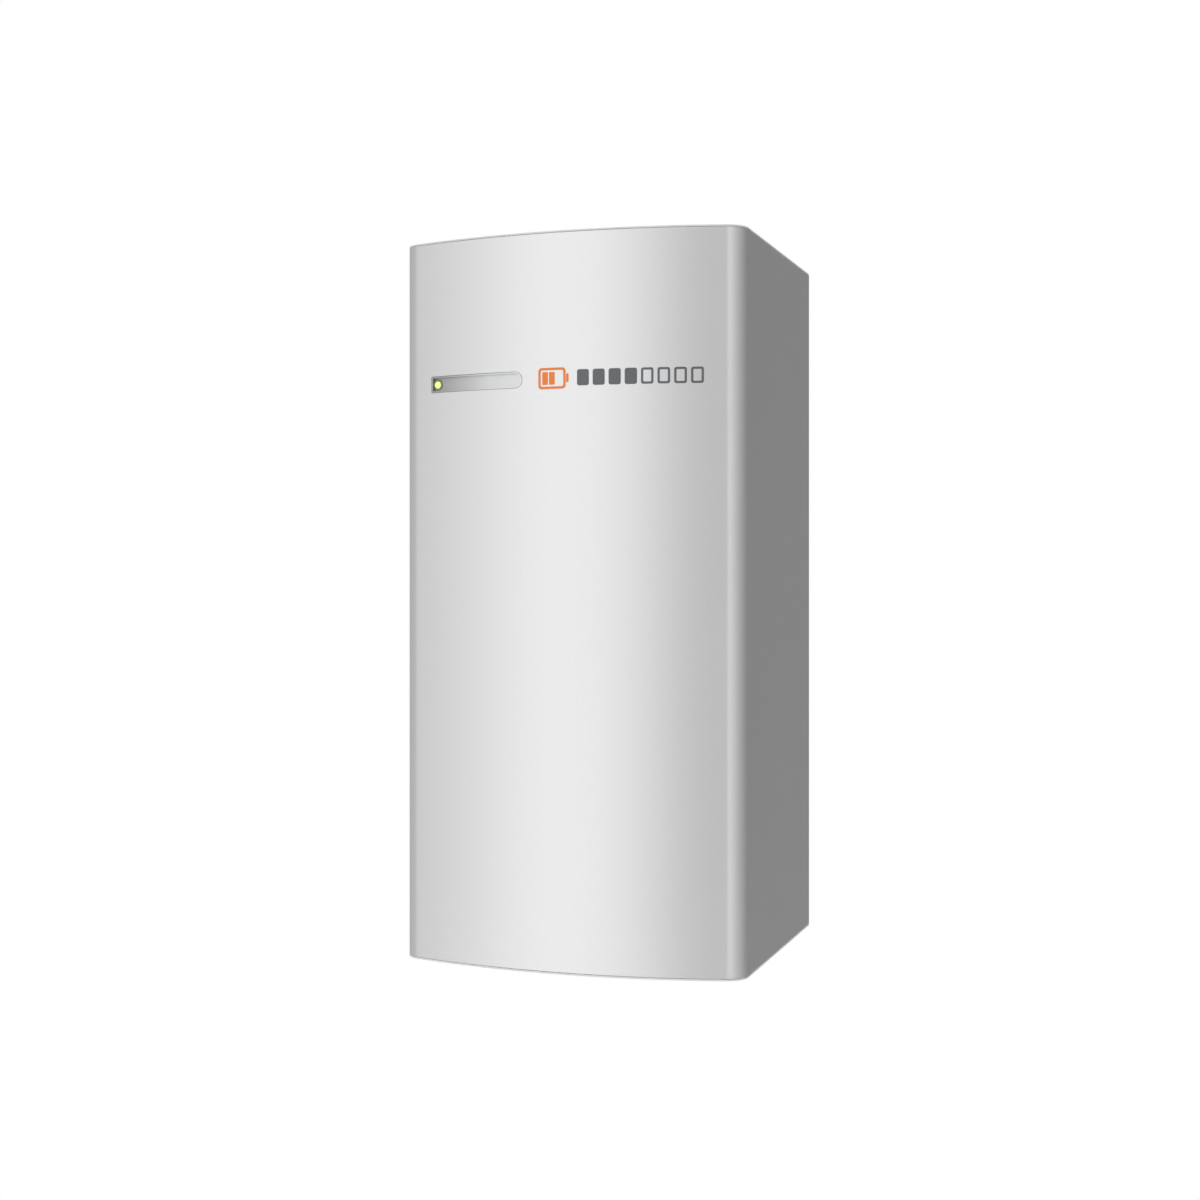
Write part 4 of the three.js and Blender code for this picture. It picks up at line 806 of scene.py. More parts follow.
class BATTERY_OT_hanging(bpy.types.Operator):
    """Makes the wall bracket with its screws, the hang rail, the back panel, the studs, bumpers and seals"""

    bl_idname = "battery.hanging"
    bl_label = "Hanging parts"

    def execute(self, context):
        zinc, bolt, rubber = looks("zinc_sheet", "plated_bolt", "matt_rubber")
        softened_piece("wall_bracket", zinc, 0.5, body="wall_bracket")
        softened_piece("hang_rail", zinc, 0.6)
        softened_piece("back_panel", zinc, 0.5)
        plate_front, across, tall = -3 * MM, 10 * MM, 5 * MM
        washer, shank = 6.6 * MM, 3.5 * MM
        lags = []
        for x, z in in_mm((-70, -85), (-70, 85), (70, -85), (70, 85)):
            lags.append(hex_head((x, plate_front, z), FORWARD, across, tall, washer))
            lags.append(rod((x, plate_front, z), (x, 0, z), shank))
        piece("lag_screws", lags, bolt, body="wall_bracket")
        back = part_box("back_panel")[1].y
        bead_wide, bead_near, bead_far, bead_edge = 10, back - 0.3 * MM, back + MM, 0.9
        upright, level = ((-128, 14), (128, 14)), ((0, -215), (0, -160), (0, 205), (0, 262))
        beads = []
        for places, wide, tall in ((upright, bead_wide, 552), (level, 224, bead_wide)):
            beads += [pad(x, z, wide, tall, bead_near, bead_far, bead_edge, 3) for x, z in in_mm(*places)]
        piece("panel_beads", beads, zinc)
        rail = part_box("hang_rail")[1]
        heads = [
            pan_head((x * MM, rail.y - 12.2 * MM, rail.z - 10 * MM), BACKWARD, 3.4 * MM, 2 * MM)
            for x in range(-90, 91, 30)
        ]
        heads += [
            pan_head((x * MM, back, z * MM), BACKWARD, 2.8 * MM, 1.7 * MM)
            for z in range(-300, 301, 60) for x in (-144, 144)
        ]
        piece("panel_screws", heads, bolt)
        for side in ("left", "right"):
            low, high, middle = extent(f"lower_stud_{side}")
            end = (high.y - low.y) / MM
            profile = in_mm(
                (0, 0), (0, 7.4), (0.6, 8), (1.5, 8), (1.5, 3.5), (end - 4, 3.5), (end - 4, 7.4),
                (end - 3.4, 8), (end - 0.8, 8), (end, 6.6), (end, 2.6), (end - 2.4, 2.5), (end - 2.4, 0),
            )
            stud = turned(profile, (middle.x, low.y, middle.z), BACKWARD)
            piece(f"{side}_locating_stud", [stud], bolt, f"lower_stud_{side}")
            low, high, middle = extent(f"wall_bumper_{side}")
            end = (high.y - low.y) / MM
            profile = in_mm(
                (0, 0), (0, 12), (3, 12), (4, 10.6), (end - 5, 10), (end - 4, 11.4), (end - 1.5, 12),
                (end - 0.3, 11), (end, 9.6), (end, 3.4), (end - 3, 3), (end - 3, 0),
            )
            bumper = turned(profile, (middle.x, low.y, middle.z), BACKWARD)
            piece(f"{side}_wall_bumper_pad", [bumper], rubber, f"wall_bumper_{side}")
            softened_piece(f"edge_seal_{side}", rubber, 0.6)
        return {"FINISHED"}


class BATTERY_OT_pack_case(bpy.types.Operator):
    """Makes the sealed pack's tub, gasket and lid with its screws, the breather and the carrying handles"""

    bl_idname = "battery.pack_case"
    bl_label = "Pack case"

    def execute(self, context):
        casting, bolt, rubber = looks("die_casting", "plated_bolt", "matt_rubber")
        softened_piece("pack_tub", casting, 1.2)
        softened_piece("pack_gasket", rubber, 0.5)
        softened_piece("pack_lid", casting, 0.8)
        self.lid_screws(bolt)
        low, high, middle = extent("breather_vent")
        end = (high.z - low.z) / MM
        profile = in_mm(
            (0, 0), (0, 9), (1.6, 9), (1.6, 12), (end - 2, 11.6), (end - 0.4, 10.4), (end, 8.6), (end, 6),
            (end - 0.8, 5.4), (end - 0.8, 0),
        )
        cap = turned(profile, (middle.x, middle.y, low.z), UPWARD)
        piece("breather_cap", [cap], look_of("black_moulding"), "breather_vent")
        for side in ("left", "right"):
            self.handle(side, rubber)
        return {"FINISHED"}

    def lid_screws(self, bolt):
        """Screws along the lid's four edges, clear of the feet of the support frames."""
        low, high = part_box("pack_lid")
        inset, columns, rows = 7 * MM, 6, 10
        across = [low.x + inset + i * (high.x - low.x - 2 * inset) / columns for i in range(columns + 1)]
        upward = [low.z + inset + i * (high.z - low.z - 2 * inset) / rows for i in range(rows + 1)]
        places = [(x, z) for x in across for z in (upward[0], upward[-1])]
        places += [(x, z) for x in (across[0], across[-1]) for z in upward[1:-1]]
        frames = [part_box("support_frame_top"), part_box("support_frame_bottom")]
        foot_x, clear = 120 * MM, 5 * MM
        open_places = [
            (x, z) for x, z in places
            if abs(x) <= foot_x or not any(a.z - clear < z < b.z + clear for a, b in frames)
        ]
        piece("lid_screws", front_screws(open_places, low.y, 3.6, 2.4), bolt)

    def handle(self, side, rubber):
        """A bent round bar on two feet, with a ribbed grip."""
        low, high, middle = extent(f"carry_handle_{side}")
        x, radius, foot, bend, near = middle.x, 4.5 * MM, 9 * MM, 12 * MM, 3.6 * MM
        top, front, back = high.z - radius, low.y + foot, high.y - foot
        route = [
            (x, front, low.z), (x, front, top - bend), (x, front + near, top - near), (x, front + bend, top),
            (x, back - bend, top), (x, back - near, top - near), (x, back, top - bend), (x, back, low.z),
        ]
        profile = in_mm((0, 0), (0, 9), (1.6, 9), (2.5, 7.8), (3.4, 4.5), (3.4, 0))
        feet = [turned(profile, (x, y, low.z), UPWARD, 32) for y in (front, back)]
        powder = look_of("black_powder")
        piece(f"{side}_carry_handle", [hose(route, radius), *feet], powder, f"carry_handle_{side}")
        half, grip, groove_count, groove_pitch = 26, 6, 8, 5.6  # these and the profile are in millimetres
        groove = grip - 0.6
        profile = [(0, 0), (0, grip - 1), (1, grip)]
        for i in range(groove_count):
            along = 5 + i * groove_pitch
            profile += [(along, grip), (along + 0.5, groove), (along + 1.5, groove), (along + 2, grip)]
        profile += [(2 * half - 1, grip), (2 * half, grip - 1), (2 * half, 0)]
        start = (x, (front + back) / 2 - half * MM, top)
        piece(f"{side}_handle_grip", [turned(in_mm(*profile), start, BACKWARD, 28)], rubber)


class BATTERY_OT_modules(bpy.types.Operator):
    """Makes the cell stacks, their clamps and busbars, the fuse, the contactor and the management board"""

    bl_idname = "battery.modules"
    bl_label = "Cells and pack electronics"

    def execute(self, context):
        pads = []
        for i in (1, 2, 3):
            pads += self.stack(i)
        piece("cell_terminals", pads, look_of("die_casting"))
        self.board()
        posts = self.contactor() + self.fuse()
        piece("pack_terminals", posts, look_of("bare_copper"))
        return {"FINISHED"}

    def stack(self, i):
        """One stack with its clamp and busbars; gives the cells' terminal pads."""
        wrap, casting, copper, pale = looks("blue_wrap", "die_casting", "bare_copper", "pale_moulding")
        cells_in_row, can_gap, can_edge = 7, 0.5 * MM, 2.2 * MM
        low, high, middle = extent(f"cell_block_{i}")
        tray_front, tray_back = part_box(f"busbar_tray_{i}")
        pitch = (high.z - low.z) / cells_in_row
        front = low.y + 3 * MM
        poles = [middle.x + side * (high.x - middle.x - 24 * MM) for side in (-1, 1)]
        cans, pads, links = [], [], []
        for k in range(cells_in_row):
            z = low.z + (k + 0.5) * pitch
            half = pitch / 2 - can_gap
            cans.append(block((low.x, front, z - half), (high.x, high.y, z + half), can_edge, 3))
            pads += [pad(x, z, 16, 12, low.y, front + MM, 0.3) for x in poles]
        piece(f"cell_stack_{i}", cans, wrap, f"cell_block_{i}")
        softened_piece(f"clamp_frame_{i}", casting, 0.6)
        plate = block((tray_front.x, tray_front.y + 2 * MM, tray_front.z), tray_back, 0.4 * MM)
        piece(f"busbar_carrier_{i}", [plate], pale)
        link_tall = pitch / MM + 12
        link_back = tray_front.y + 2.5 * MM
        for first, x in enumerate(poles):
            for k in range((cells_in_row - first) // 2):
                z = low.z + pitch * (first + 2 * k + 1)
                links.append(pad(x, z, 22, link_tall, tray_front.y, link_back, 0.5))
        piece(f"busbar_links_{i}", links, copper, f"busbar_tray_{i}")
        return pads

    def board(self):
        """The management board on its stands, with a relay, a chip, a plug and three coils."""
        black, bolt, pale, copper = looks("black_moulding", "plated_bolt", "pale_moulding", "bare_copper")
        low, high, middle = extent("management_board")
        board_back = high.y - 14 * MM
        face = board_back - 1.6 * MM
        green = block((low.x, face, low.z), (high.x, board_back, high.z), 0.2 * MM)
        piece("management_circuit", [green], board_look(), "management_board")
        places = corners(low, high, 5, 5)
        stands = [rod((x, board_back, z), (x, high.y, z), 3 * MM) for x, z in places]
        piece("board_stands", stands + front_screws(places, face, 2.6, 1.6), look_of("bare_brass"))
        relay = pad(low.x + 20 * MM, high.z - 19 * MM, 24, 22, face - 9 * MM, face, 0.8)
        chip_x = middle.x + 2 * MM
        chip = pad(chip_x, middle.z, 24, 24, face - 3 * MM, face, 0.4)
        piece("board_chips", [relay, chip], black)
        rows = [middle.z + k * 2.1 * MM for k in range(-5, 6)]
        legs = [pad(chip_x, z, 27.2, 0.8, face - 0.9 * MM, face) for z in rows]
        piece("board_chip_legs", legs, bolt)
        plug = pad(high.x - 21 * MM, low.z + 15 * MM, 26, 14, face - 12 * MM, face, 0.8)
        piece("board_plugs", [plug], pale)
        x = high.x - 14 * MM
        coils = [
            rod((x, face - 14 * MM, z), (x, face, z), 5 * MM, 0.8 * MM)
            for z in (middle.z + 5 * MM, middle.z + 18 * MM, middle.z + 31 * MM)
        ]
        piece("board_coils", coils, copper)

    def contactor(self):
        """The contactor's case; gives its two posts."""
        low, high, middle = extent("contactor")
        front = low.y + 10 * MM
        case = block((low.x + 8 * MM, front, low.z), (high.x - 8 * MM, high.y, high.z), 1.4 * MM)
        foot_low = (low.x, high.y - 3 * MM, middle.z - 12 * MM)
        foot = block(foot_low, (high.x, high.y, middle.z + 12 * MM), 0.8 * MM)
        piece("contactor_case", [case, foot], look_of("black_moulding"), "contactor")
        posts = []
        for x in (middle.x - 12 * MM, middle.x + 12 * MM):
            posts.append(rod((x, low.y, middle.z), (x, front, middle.z), 4 * MM, 0.6 * MM))
            start = (x, front - 3 * MM, middle.z)
            posts.append(hex_head(start, FORWARD, 11 * MM, 4 * MM, washer=7.5 * MM))
        return posts

    def fuse(self):
        """The main fuse on its base; gives its bar and its two posts."""
        low, high, middle = extent("pack_fuse")
        x, z, axis = middle.x, middle.z, high.y - 26 * MM
        half = ((22, 0), (22, 9.8), (21, 11), (17, 11), (16.6, 10.2))
        profile = in_mm(*[(-along, wide) for along, wide in half], *reversed(half))
        barrel = turned(profile, (x, axis, z), (1, 0, 0))
        piece("fuse_barrel", [barrel], look_of("pale_moulding"), "pack_fuse")
        base = block((low.x, high.y - 6 * MM, low.z), high, MM)
        piece("fuse_base", [base], look_of("black_moulding"))
        bar_front, bar_back = axis - 1.5 * MM, axis + 1.5 * MM
        posts = [pad(x, z, 76, 16, bar_front, bar_back, 0.5)]
        for post in (x - 33 * MM, x + 33 * MM):
            posts.append(rod((post, axis, z), (post, high.y - 5 * MM, z), 5 * MM, 0.4 * MM))
            posts.append(hex_head((post, bar_front, z), FORWARD, 9 * MM, 4 * MM, washer=6.5 * MM))
        return posts


class BATTERY_OT_converters(bpy.types.Operator):
    """Makes the carrier, the four finned converters with their bolts, and the cover's support frames"""

    bl_idname = "battery.converters"
    bl_label = "Converters"

    def execute(self, context):
        zinc, bolt, rubber = looks("zinc_sheet", "plated_bolt", "matt_rubber")
        softened_piece("inverter_carrier", zinc, 0.6)
        bolts, collars, lights = [], [], []
        for i in (1, 2, 3, 4):
            self.converter(i, bolts, collars, lights)
        piece("converter_bolts", bolts, bolt)
        piece("converter_lights", lights, look_of("status_lens"))
        piece("converter_sockets", collars, look_of("black_moulding"))
        heads = []
        for end in ("top", "bottom"):
            node = f"support_frame_{end}"
            softened_piece(node, zinc, 0.5)
            low, high, middle = extent(node)
            ends = [(low.x + 8 * MM, middle.z), (high.x - 8 * MM, middle.z)]
            heads += front_screws(ends, high.y - 2 * MM, 3.4, 2.2)
        piece("frame_screws", heads, bolt)
        profile = in_mm(
            (-0.7, 7.7), (0, 7.7), (0.2, 6.2), (2, 6), (2.2, 7.7), (2.8, 7.7), (2.8, 5.4), (-0.7, 5.4),
            (-0.7, 7.7),
        )
        piece("pin_grommets", [turned(profile, place, BACKWARD, 32) for place in pin_places()], rubber)
        return {"FINISHED"}

    def converter(self, i, bolts, collars, lights):
        """One converter: a finned case on two ears, with sockets towards the unit's middle."""
        fin_rise, fin_count, margin = 6 * MM, 9, 14 * MM
        reach, ear_thick, ear_reach, screw_inset, rim_inset = 8 * MM, 3 * MM, 9 * MM, 9 * MM, 7 * MM
        low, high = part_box(f"inverter_{i}")
        inward = 1 if low.x < 0 else -1
        left, right = (low.x, high.x - reach) if inward > 0 else (low.x + reach, high.x)
        bottom, top, front = low.z + ear_reach, high.z - ear_reach, low.y + fin_rise
        middle, ear_front = (left + right) / 2, high.y - ear_thick
        case = block((left, front, bottom), (right, high.y, top))
        round_edges(case, 8 * MM, 5, along=1)
        round_edges(case, 1.2 * MM, 3, angle=math.radians(60))
        solids = [case]
        pitch = (right - left - 2 * margin) / (fin_count - 1)
        for k in range(fin_count):
            x = left + margin + k * pitch
            fin_low = (x - 1.5 * MM, low.y, bottom + margin)
            solids.append(block(fin_low, (x + 1.5 * MM, front + MM, top - margin), 1.1 * MM, 3))
        for z in (bottom - ear_reach / 2, top + ear_reach / 2):
            solids.append(pad(middle, z, 34, ear_reach / MM, ear_front, high.y, 0.6))
            for x in (middle - 9 * MM, middle + 9 * MM):
                bolts.append(hex_head((x, ear_front, z), FORWARD, 5.5 * MM, 3 * MM, washer=4.2 * MM))
        columns, levels = (left + screw_inset, right - screw_inset), (bottom + screw_inset, top - screw_inset)
        places = [(x, z) for z in levels for x in columns]
        places += [(middle, bottom + rim_inset), (middle, top - rim_inset)]
        bolts.extend(front_screws(places, front, 3, 2))
        lights.extend(front_screws([(middle + 24 * MM, top - rim_inset)], front, 2.2, 1.4))
        inner, level = (right if inward > 0 else left), (bottom + top) / 2
        profile = in_mm(
            (-0.5, 0), (-0.5, 7.6), (1.4, 7.6), (1.6, 6), (3.4, 6), (3.6, 5.4), (4.6, 5.4), (4.8, 6), (8, 6),
            (8, 0),
        )
        for rise in (-PORT_RISE, PORT_RISE):
            start = (inner, high.y - PORT_DEPTH, level + rise)
            collars.append(turned(profile, start, (inward, 0, 0), 32))
        piece(f"converter_{i}_casting", solids, look_of("dark_casting"), f"inverter_{i}")


class BATTERY_OT_switch_radio(bpy.types.Operator):
    """Makes the DC switch and its knob, and the radio's housing and board"""

    bl_idname = "battery.switch_radio"
    bl_label = "Switch and radio"

    def execute(self, context):
        grey, black, bolt, white = looks("grey_moulding", "black_moulding", "plated_bolt", "white_ink")
        softened_piece("dc_switch_body", grey, 1.4)
        body_low, body_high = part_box("dc_switch_body")
        low, high, middle = extent("dc_switch_knob")
        x, z, disc_back = middle.x, middle.z, low.y + 22 * MM
        profile = in_mm(
            (-9, 0), (-9, 6), (0, 6), (0, 22.6), (0.8, 24), (6.6, 24), (7.6, 23.2), (8, 21.6), (8, 0)
        )
        solids = [turned(profile, (x, disc_back, z), FORWARD, 64)]
        rib_count, rib_ring, rib_radius, rib_edge = 30, 23.6 * MM, MM, 0.5 * MM
        for at_x, at_z in round_places(x, z, rib_ring, rib_count):
            start, end = (at_x, disc_back - 1.2 * MM, at_z), (at_x, disc_back - 6.8 * MM, at_z)
            solids.append(rod(start, end, rib_radius, rib_edge, 10))
        grip = pad(x, z, 44, 11, low.y, disc_back - 6 * MM)
        solids.append(round_edges(round_edges(grip, 5.2 * MM, 6, along=1), 1.4 * MM, 3))
        piece("switch_knob_moulding", solids, black, "dc_switch_knob", body="dc_switch_knob")
        print_high = 0.12 * MM
        pointer = pad(x + 14.25 * MM, z, 12.5, 1.8, low.y - print_high, low.y + 0.4 * MM, 0.1)
        piece("knob_pointer", [pointer], white, body="dc_switch_knob")
        face = body_low.y + 3 * MM
        start, end = (x + 31.5 * MM, face + 0.3 * MM, z), (x + 31.5 * MM, face - print_high, z)
        piece("switch_marks", [rod(start, end, 1.4 * MM, 0.05 * MM, 20)], white)
        screws = front_screws(corners(body_low, body_high, 7, 2.6), body_high.y - 4 * MM, 2.4, 1.6)
        softened_piece("radio_housing", grey, 1.6)
        low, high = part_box("radio_housing")
        lower_left, upper_left, lower_right, upper_right = corners(low, high, 7, 7)
        past_pipe = (low.x + 27 * MM, lower_left[1])
        screws += front_screws((upper_left, upper_right, lower_right, past_pipe), low.y, 2.8, 1.8)
        piece("box_screws", screws, bolt)
        slat_count, slat_pitch, slat_tall, slat_edge = 7, 4.5 * MM, 2 * MM, 0.9 * MM
        left, right, first = low.x + 48 * MM, high.x - 16 * MM, high.z - 14 * MM
        slats = []
        for i in range(slat_count):
            top = first - i * slat_pitch
            slat_low = (left, low.y - 1.2 * MM, top - slat_tall)
            slats.append(block(slat_low, (right, low.y + MM, top), slat_edge, 3))
        piece("radio_louvres", slats, grey)
        softened_piece("radio_board", board_look(), 0.2)
        return {"FINISHED"}


class BATTERY_OT_cables(bpy.types.Operator):
    """Makes the trunk cables with their branches and boots, the pack leads and the signal cable"""

    bl_idname = "battery.cables"
    bl_label = "Cables"

    def execute(self, context):
        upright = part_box("inverter_1")[1].y - PORT_DEPTH
        glands = self.dc_trunk(upright) + self.ac_trunk(upright)
        for colour, side in (("positive", 1), ("negative", -1)):
            glands += self.pack_lead(colour, side)
        glands += self.signal_cable()
        piece("cable_glands", glands, look_of("black_moulding"))
        return {"FINISHED"}

    def dc_trunk(self, upright):
        """Up between the converters and over to the switch; gives its gland."""
        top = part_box("inverter_1")[1].z + MM
        low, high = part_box("dc_trunk_cable")
        x = extent("dc_switch_body")[2].x
        forward = upright - 8 * MM
        route = [
            (0, upright, low.z), (0, upright, top - 46 * MM), (0, upright, top - 32 * MM),
            (5 * MM, upright - 4 * MM, top - 11 * MM), (24 * MM, forward, top - 2 * MM),
            (x - 24 * MM, forward, top - 2 * MM), (x - 6 * MM, forward, top + 2 * MM),
            (x, forward, high.z - 4.7 * MM), (x, forward, high.z),
        ]
        self.trunk("dc_trunk", route, upright, upright, PORT_RISE)
        return [boot((x, forward, high.z), DOWNWARD, TRUNK_RADIUS, 9 * MM)]

    def ac_trunk(self, upright):
        """Down between the converters, under the tub and into the terminal block; gives its glands."""
        y = upright - 16 * MM
        tub_bottom, box_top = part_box("pack_tub")[0].z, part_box("wiring_box")[1].z
        level = (tub_bottom + box_top) / 2
        block_back, block_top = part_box("terminal_block")[1].yz
        drop_y, end = block_back - 23 * MM, block_top + FIT
        route = [
            (0, y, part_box("ac_trunk_cable")[1].z), (0, y, tub_bottom + 52 * MM), (0, y, tub_bottom + 38 * MM),
            (0, y + 2 * MM, tub_bottom + 14 * MM), (0, y + 16 * MM, level + 3 * MM), (0, y + 44 * MM, level),
            (0, drop_y - 24 * MM, level), (0, drop_y - 7 * MM, level - 4 * MM),
            (0, drop_y, box_top - 6 * MM), (0, drop_y, end),
        ]
        self.trunk("ac_trunk", route, upright, y, -PORT_RISE)
        grommet = in_mm(
            (-1.5, 4.6), (-1.5, 10.5), (0, 11), (0.2, 9), (2.3, 9), (2.5, 11), (4, 10.5), (4, 4.6),
            (-1.5, 4.6),
        )
        return [
            boot((0, drop_y, end), UPWARD, TRUNK_RADIUS, 12 * MM),
            turned(grommet, (0, drop_y - MM, box_top), DOWNWARD, 32),
        ]

    def trunk(self, name, route, upright, y, rise):
        """A trunk with a junction and two branches at each row of converters."""
        socket, elbow = 11.7 * MM, 8.8 * MM
        rows = sorted({round(extent(f"inverter_{i}")[2].z, 5) for i in (1, 2, 3, 4)})
        profile = in_mm((0, 0), (0, 5.2), (1.2, 5.2), (2.6, 4), (3.4, 3.3), (3.4, 0))
        solids, boots = [hose(route, TRUNK_RADIUS)], []
        for row in rows:
            z = row + rise
            boots.append(rod((0, y, z - 9 * MM), (0, y, z + 9 * MM), 6.5 * MM, 1.4 * MM, 28))
            for side in (-1, 1):
                end = (side * socket, upright, z)
                knee = (side * elbow * 0.8, (y + upright) / 2, z)
                solids.append(hose([(0, y, z), knee, (side * elbow, upright, z), end], 3 * MM, 4))
                boots.append(turned(profile, end, (-side, 0, 0), 28))
        piece(name, solids, look_of("black_sheath"), f"{name}_cable")
        piece(f"{name}_junctions", boots, look_of("black_moulding"))

    def pack_lead(self, colour, side):
        """A lead from the lid across to the switch; gives the glands at its ends."""
        radius, sheath = 4 * MM, "red_sheath" if side > 0 else "black_sheath"
        low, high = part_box(f"pack_lead_{colour}")
        start, end, lid = low.x + radius, high.x, high.y
        z = low.z + radius if side > 0 else high.z - radius
        across, out = end - start, lid - 26 * MM
        route = [
            (start, lid, z), (start, lid - 12 * MM, z),
            (start + across * 0.25, lid - 22 * MM, z + side * 3 * MM), (start + across * 0.7, out, z),
            (end, out, z),
        ]
        piece(f"{colour}_pack_lead", [hose(route, radius)], look_of(sheath), f"pack_lead_{colour}")
        return [
            boot((start, lid, z), FORWARD, radius, 8 * MM), boot((end, out, z), (-1, 0, 0), radius, 8 * MM)
        ]

    def signal_cable(self):
        """The thin cable from the radio to the lid; gives the glands at its ends."""
        radius = 2.5 * MM
        low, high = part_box("signal_cable")
        x, y, z, lid = low.x, low.y + radius, low.z + radius, high.y
        end_x, end_z = x + 15 * MM, z + 6 * MM
        route = [
            (x, y, z), (x + 6 * MM, y, z), (x + 13 * MM, y + 9 * MM, z + 3 * MM),
            (end_x, lid - 12 * MM, end_z), (end_x, lid, end_z),
        ]
        piece("radio_signal_cable", [hose(route, radius, 4)], look_of("grey_sheath"), "signal_cable")
        return [
            boot((x, y, z), (1, 0, 0), radius, 6 * MM), boot((end_x, lid, end_z), FORWARD, radius, 7 * MM)
        ]


class BATTERY_OT_wiring_box(bpy.types.Operator):
    """Makes the wiring box, its drop-down door with thumb screws, the hinge pin and the conduit fittings"""

    bl_idname = "battery.wiring_box"
    bl_label = "Wiring box"

    def execute(self, context):
        paint, bolt = looks("grey_powder", "plated_bolt")
        softened_piece("wiring_box", paint, 0.6)
        softened_piece("wiring_door", paint, 0.6, body="wiring_door")
        softened_piece("door_hinge_pin", bolt, 0.3)
        piece("door_thumb_screws", self.thumb_screws(), bolt, body="wiring_door")
        self.conduits(bolt)
        low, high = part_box("wiring_box")
        levels = (high.z - 16 * MM, low.z + 26 * MM)
        places = [(x * MM, z) for x in (-120, -60, 60, 120) for z in levels]
        piece("wiring_box_screws", front_screws(places, high.y - 2.5 * MM, 3.2, 2.2), bolt)
        return {"FINISHED"}

    def thumb_screws(self):
        """Two knurled screws in the door's upper corners."""
        low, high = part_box("wiring_door")
        sheet, z = low.y + 7.1 * MM, high.z - 7 * MM
        profile = in_mm(
            (0, 0), (0, 4.6), (1.2, 4.6), (1.4, 3.6), (2, 3.6), (2.2, 5.6), (5.4, 5.6), (6, 5), (6, 1.4),
            (5, 1.2), (5, 0),
        )
        solids = []
        rib_count, rib_ring, rib_radius, rib_edge = 18, 5.5 * MM, 0.5 * MM, 0.2 * MM
        for x in (low.x + 9 * MM, high.x - 9 * MM):
            solids.append(turned(profile, (x, sheet, z), FORWARD, 36))
            for at_x, at_z in round_places(x, z, rib_ring, rib_count):
                start, end = (at_x, sheet - 2.5 * MM, at_z), (at_x, sheet - 5.2 * MM, at_z)
                solids.append(rod(start, end, rib_radius, rib_edge, 8))
        return solids

    def conduits(self, bolt):
        """The open hub, the two blanks, and a locknut on each inside the box."""
        casting, black = looks("die_casting", "black_moulding")
        neck = 12.7 * MM
        low, high, middle = extent("conduit_hub")
        x, y, floor = middle.x, middle.y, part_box("wiring_box")[0].z
        seat = floor - FIT
        hub = hex_head((x, y, seat), DOWNWARD, 34 * MM, seat - low.z)
        tube = rod((x, y, floor - 4 * MM), (x, y, high.z), neck, 0.6 * MM, 40)
        flange = rod((x, y, seat), (x, y, seat - 3 * MM), 20 * MM, 0.8 * MM, 48)
        bore = rod((x, y, low.z - 5 * MM), (x, y, high.z + 5 * MM), 10 * MM, 0, 40)
        body = carve(carve(carve(hub, flange, "UNION"), tube, "UNION"), bore)
        piece("conduit_hub_casting", [body], casting, "conduit_hub")
        nut_places = [x]
        for side in ("left", "middle"):
            low, high, middle = extent(f"conduit_plug_{side}")
            x = middle.x
            head = hex_head((x, y, seat), DOWNWARD, 30 * MM, seat - low.z)
            stub = rod((x, y, floor - 2 * MM), (x, y, high.z), neck, 0.8 * MM, 40)
            blank = carve(head, stub, "UNION")
            piece(f"{side}_conduit_blank", [blank], black, f"conduit_plug_{side}")
            nut_places.append(x)
        inner_floor = floor + 2.5 * MM
        nuts = [ring_nut((x, y, inner_floor), 12.9 * MM, 18 * MM, 4 * MM) for x in nut_places]
        piece("conduit_locknuts", nuts, bolt)


class BATTERY_OT_terminals(bpy.types.Operator):
    """Makes the terminal block with its three levers, and the ground bar with its screws"""

    bl_idname = "battery.terminals"
    bl_label = "Terminals"

    def execute(self, context):
        grey, orange, brass, bolt = looks("grey_moulding", "orange_moulding", "bare_brass", "plated_bolt")
        softened_piece("terminal_block", grey, 0.8)
        for i in (1, 2, 3):
            softened_piece(f"terminal_lever_{i}", orange, 0.6, body=f"terminal_lever_{i}")
        softened_piece("ground_bar", brass, 0.6)
        low, high, middle = extent("terminal_block")
        ends = [(low.x + 4 * MM, middle.z), (high.x - 4 * MM, middle.z)]
        heads = front_screws(ends, high.y - 3 * MM, 2.8, 1.8)
        low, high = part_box("ground_bar")
        screw_count, foot = 4, 8 * MM
        pitch = (high.x - low.x - 2 * foot) / screw_count
        for i in range(screw_count):
            place = (low.x + foot + (i + 0.5) * pitch, low.y + 4.5 * MM, high.z)
            heads.append(pan_head(place, UPWARD, 2.4 * MM, 1.6 * MM))
        piece("terminal_screws", heads, bolt)
        return {"FINISHED"}


# ------------------------------------------------------------------ the stage
SURROUND = [  # degrees round from the front, and how bright the surround is there
    (-180, 0.34), (-120, 0.46), (-75, 0.46), (-45, 0.86), (-22, 1.38), (-6, 1.30), (5, 0.76), (14, 0.06),
    (22, 0.48), (36, 1.04), (56, 0.68), (85, 0.42), (125, 0.20), (160, 0.13), (180, 0.32),
]


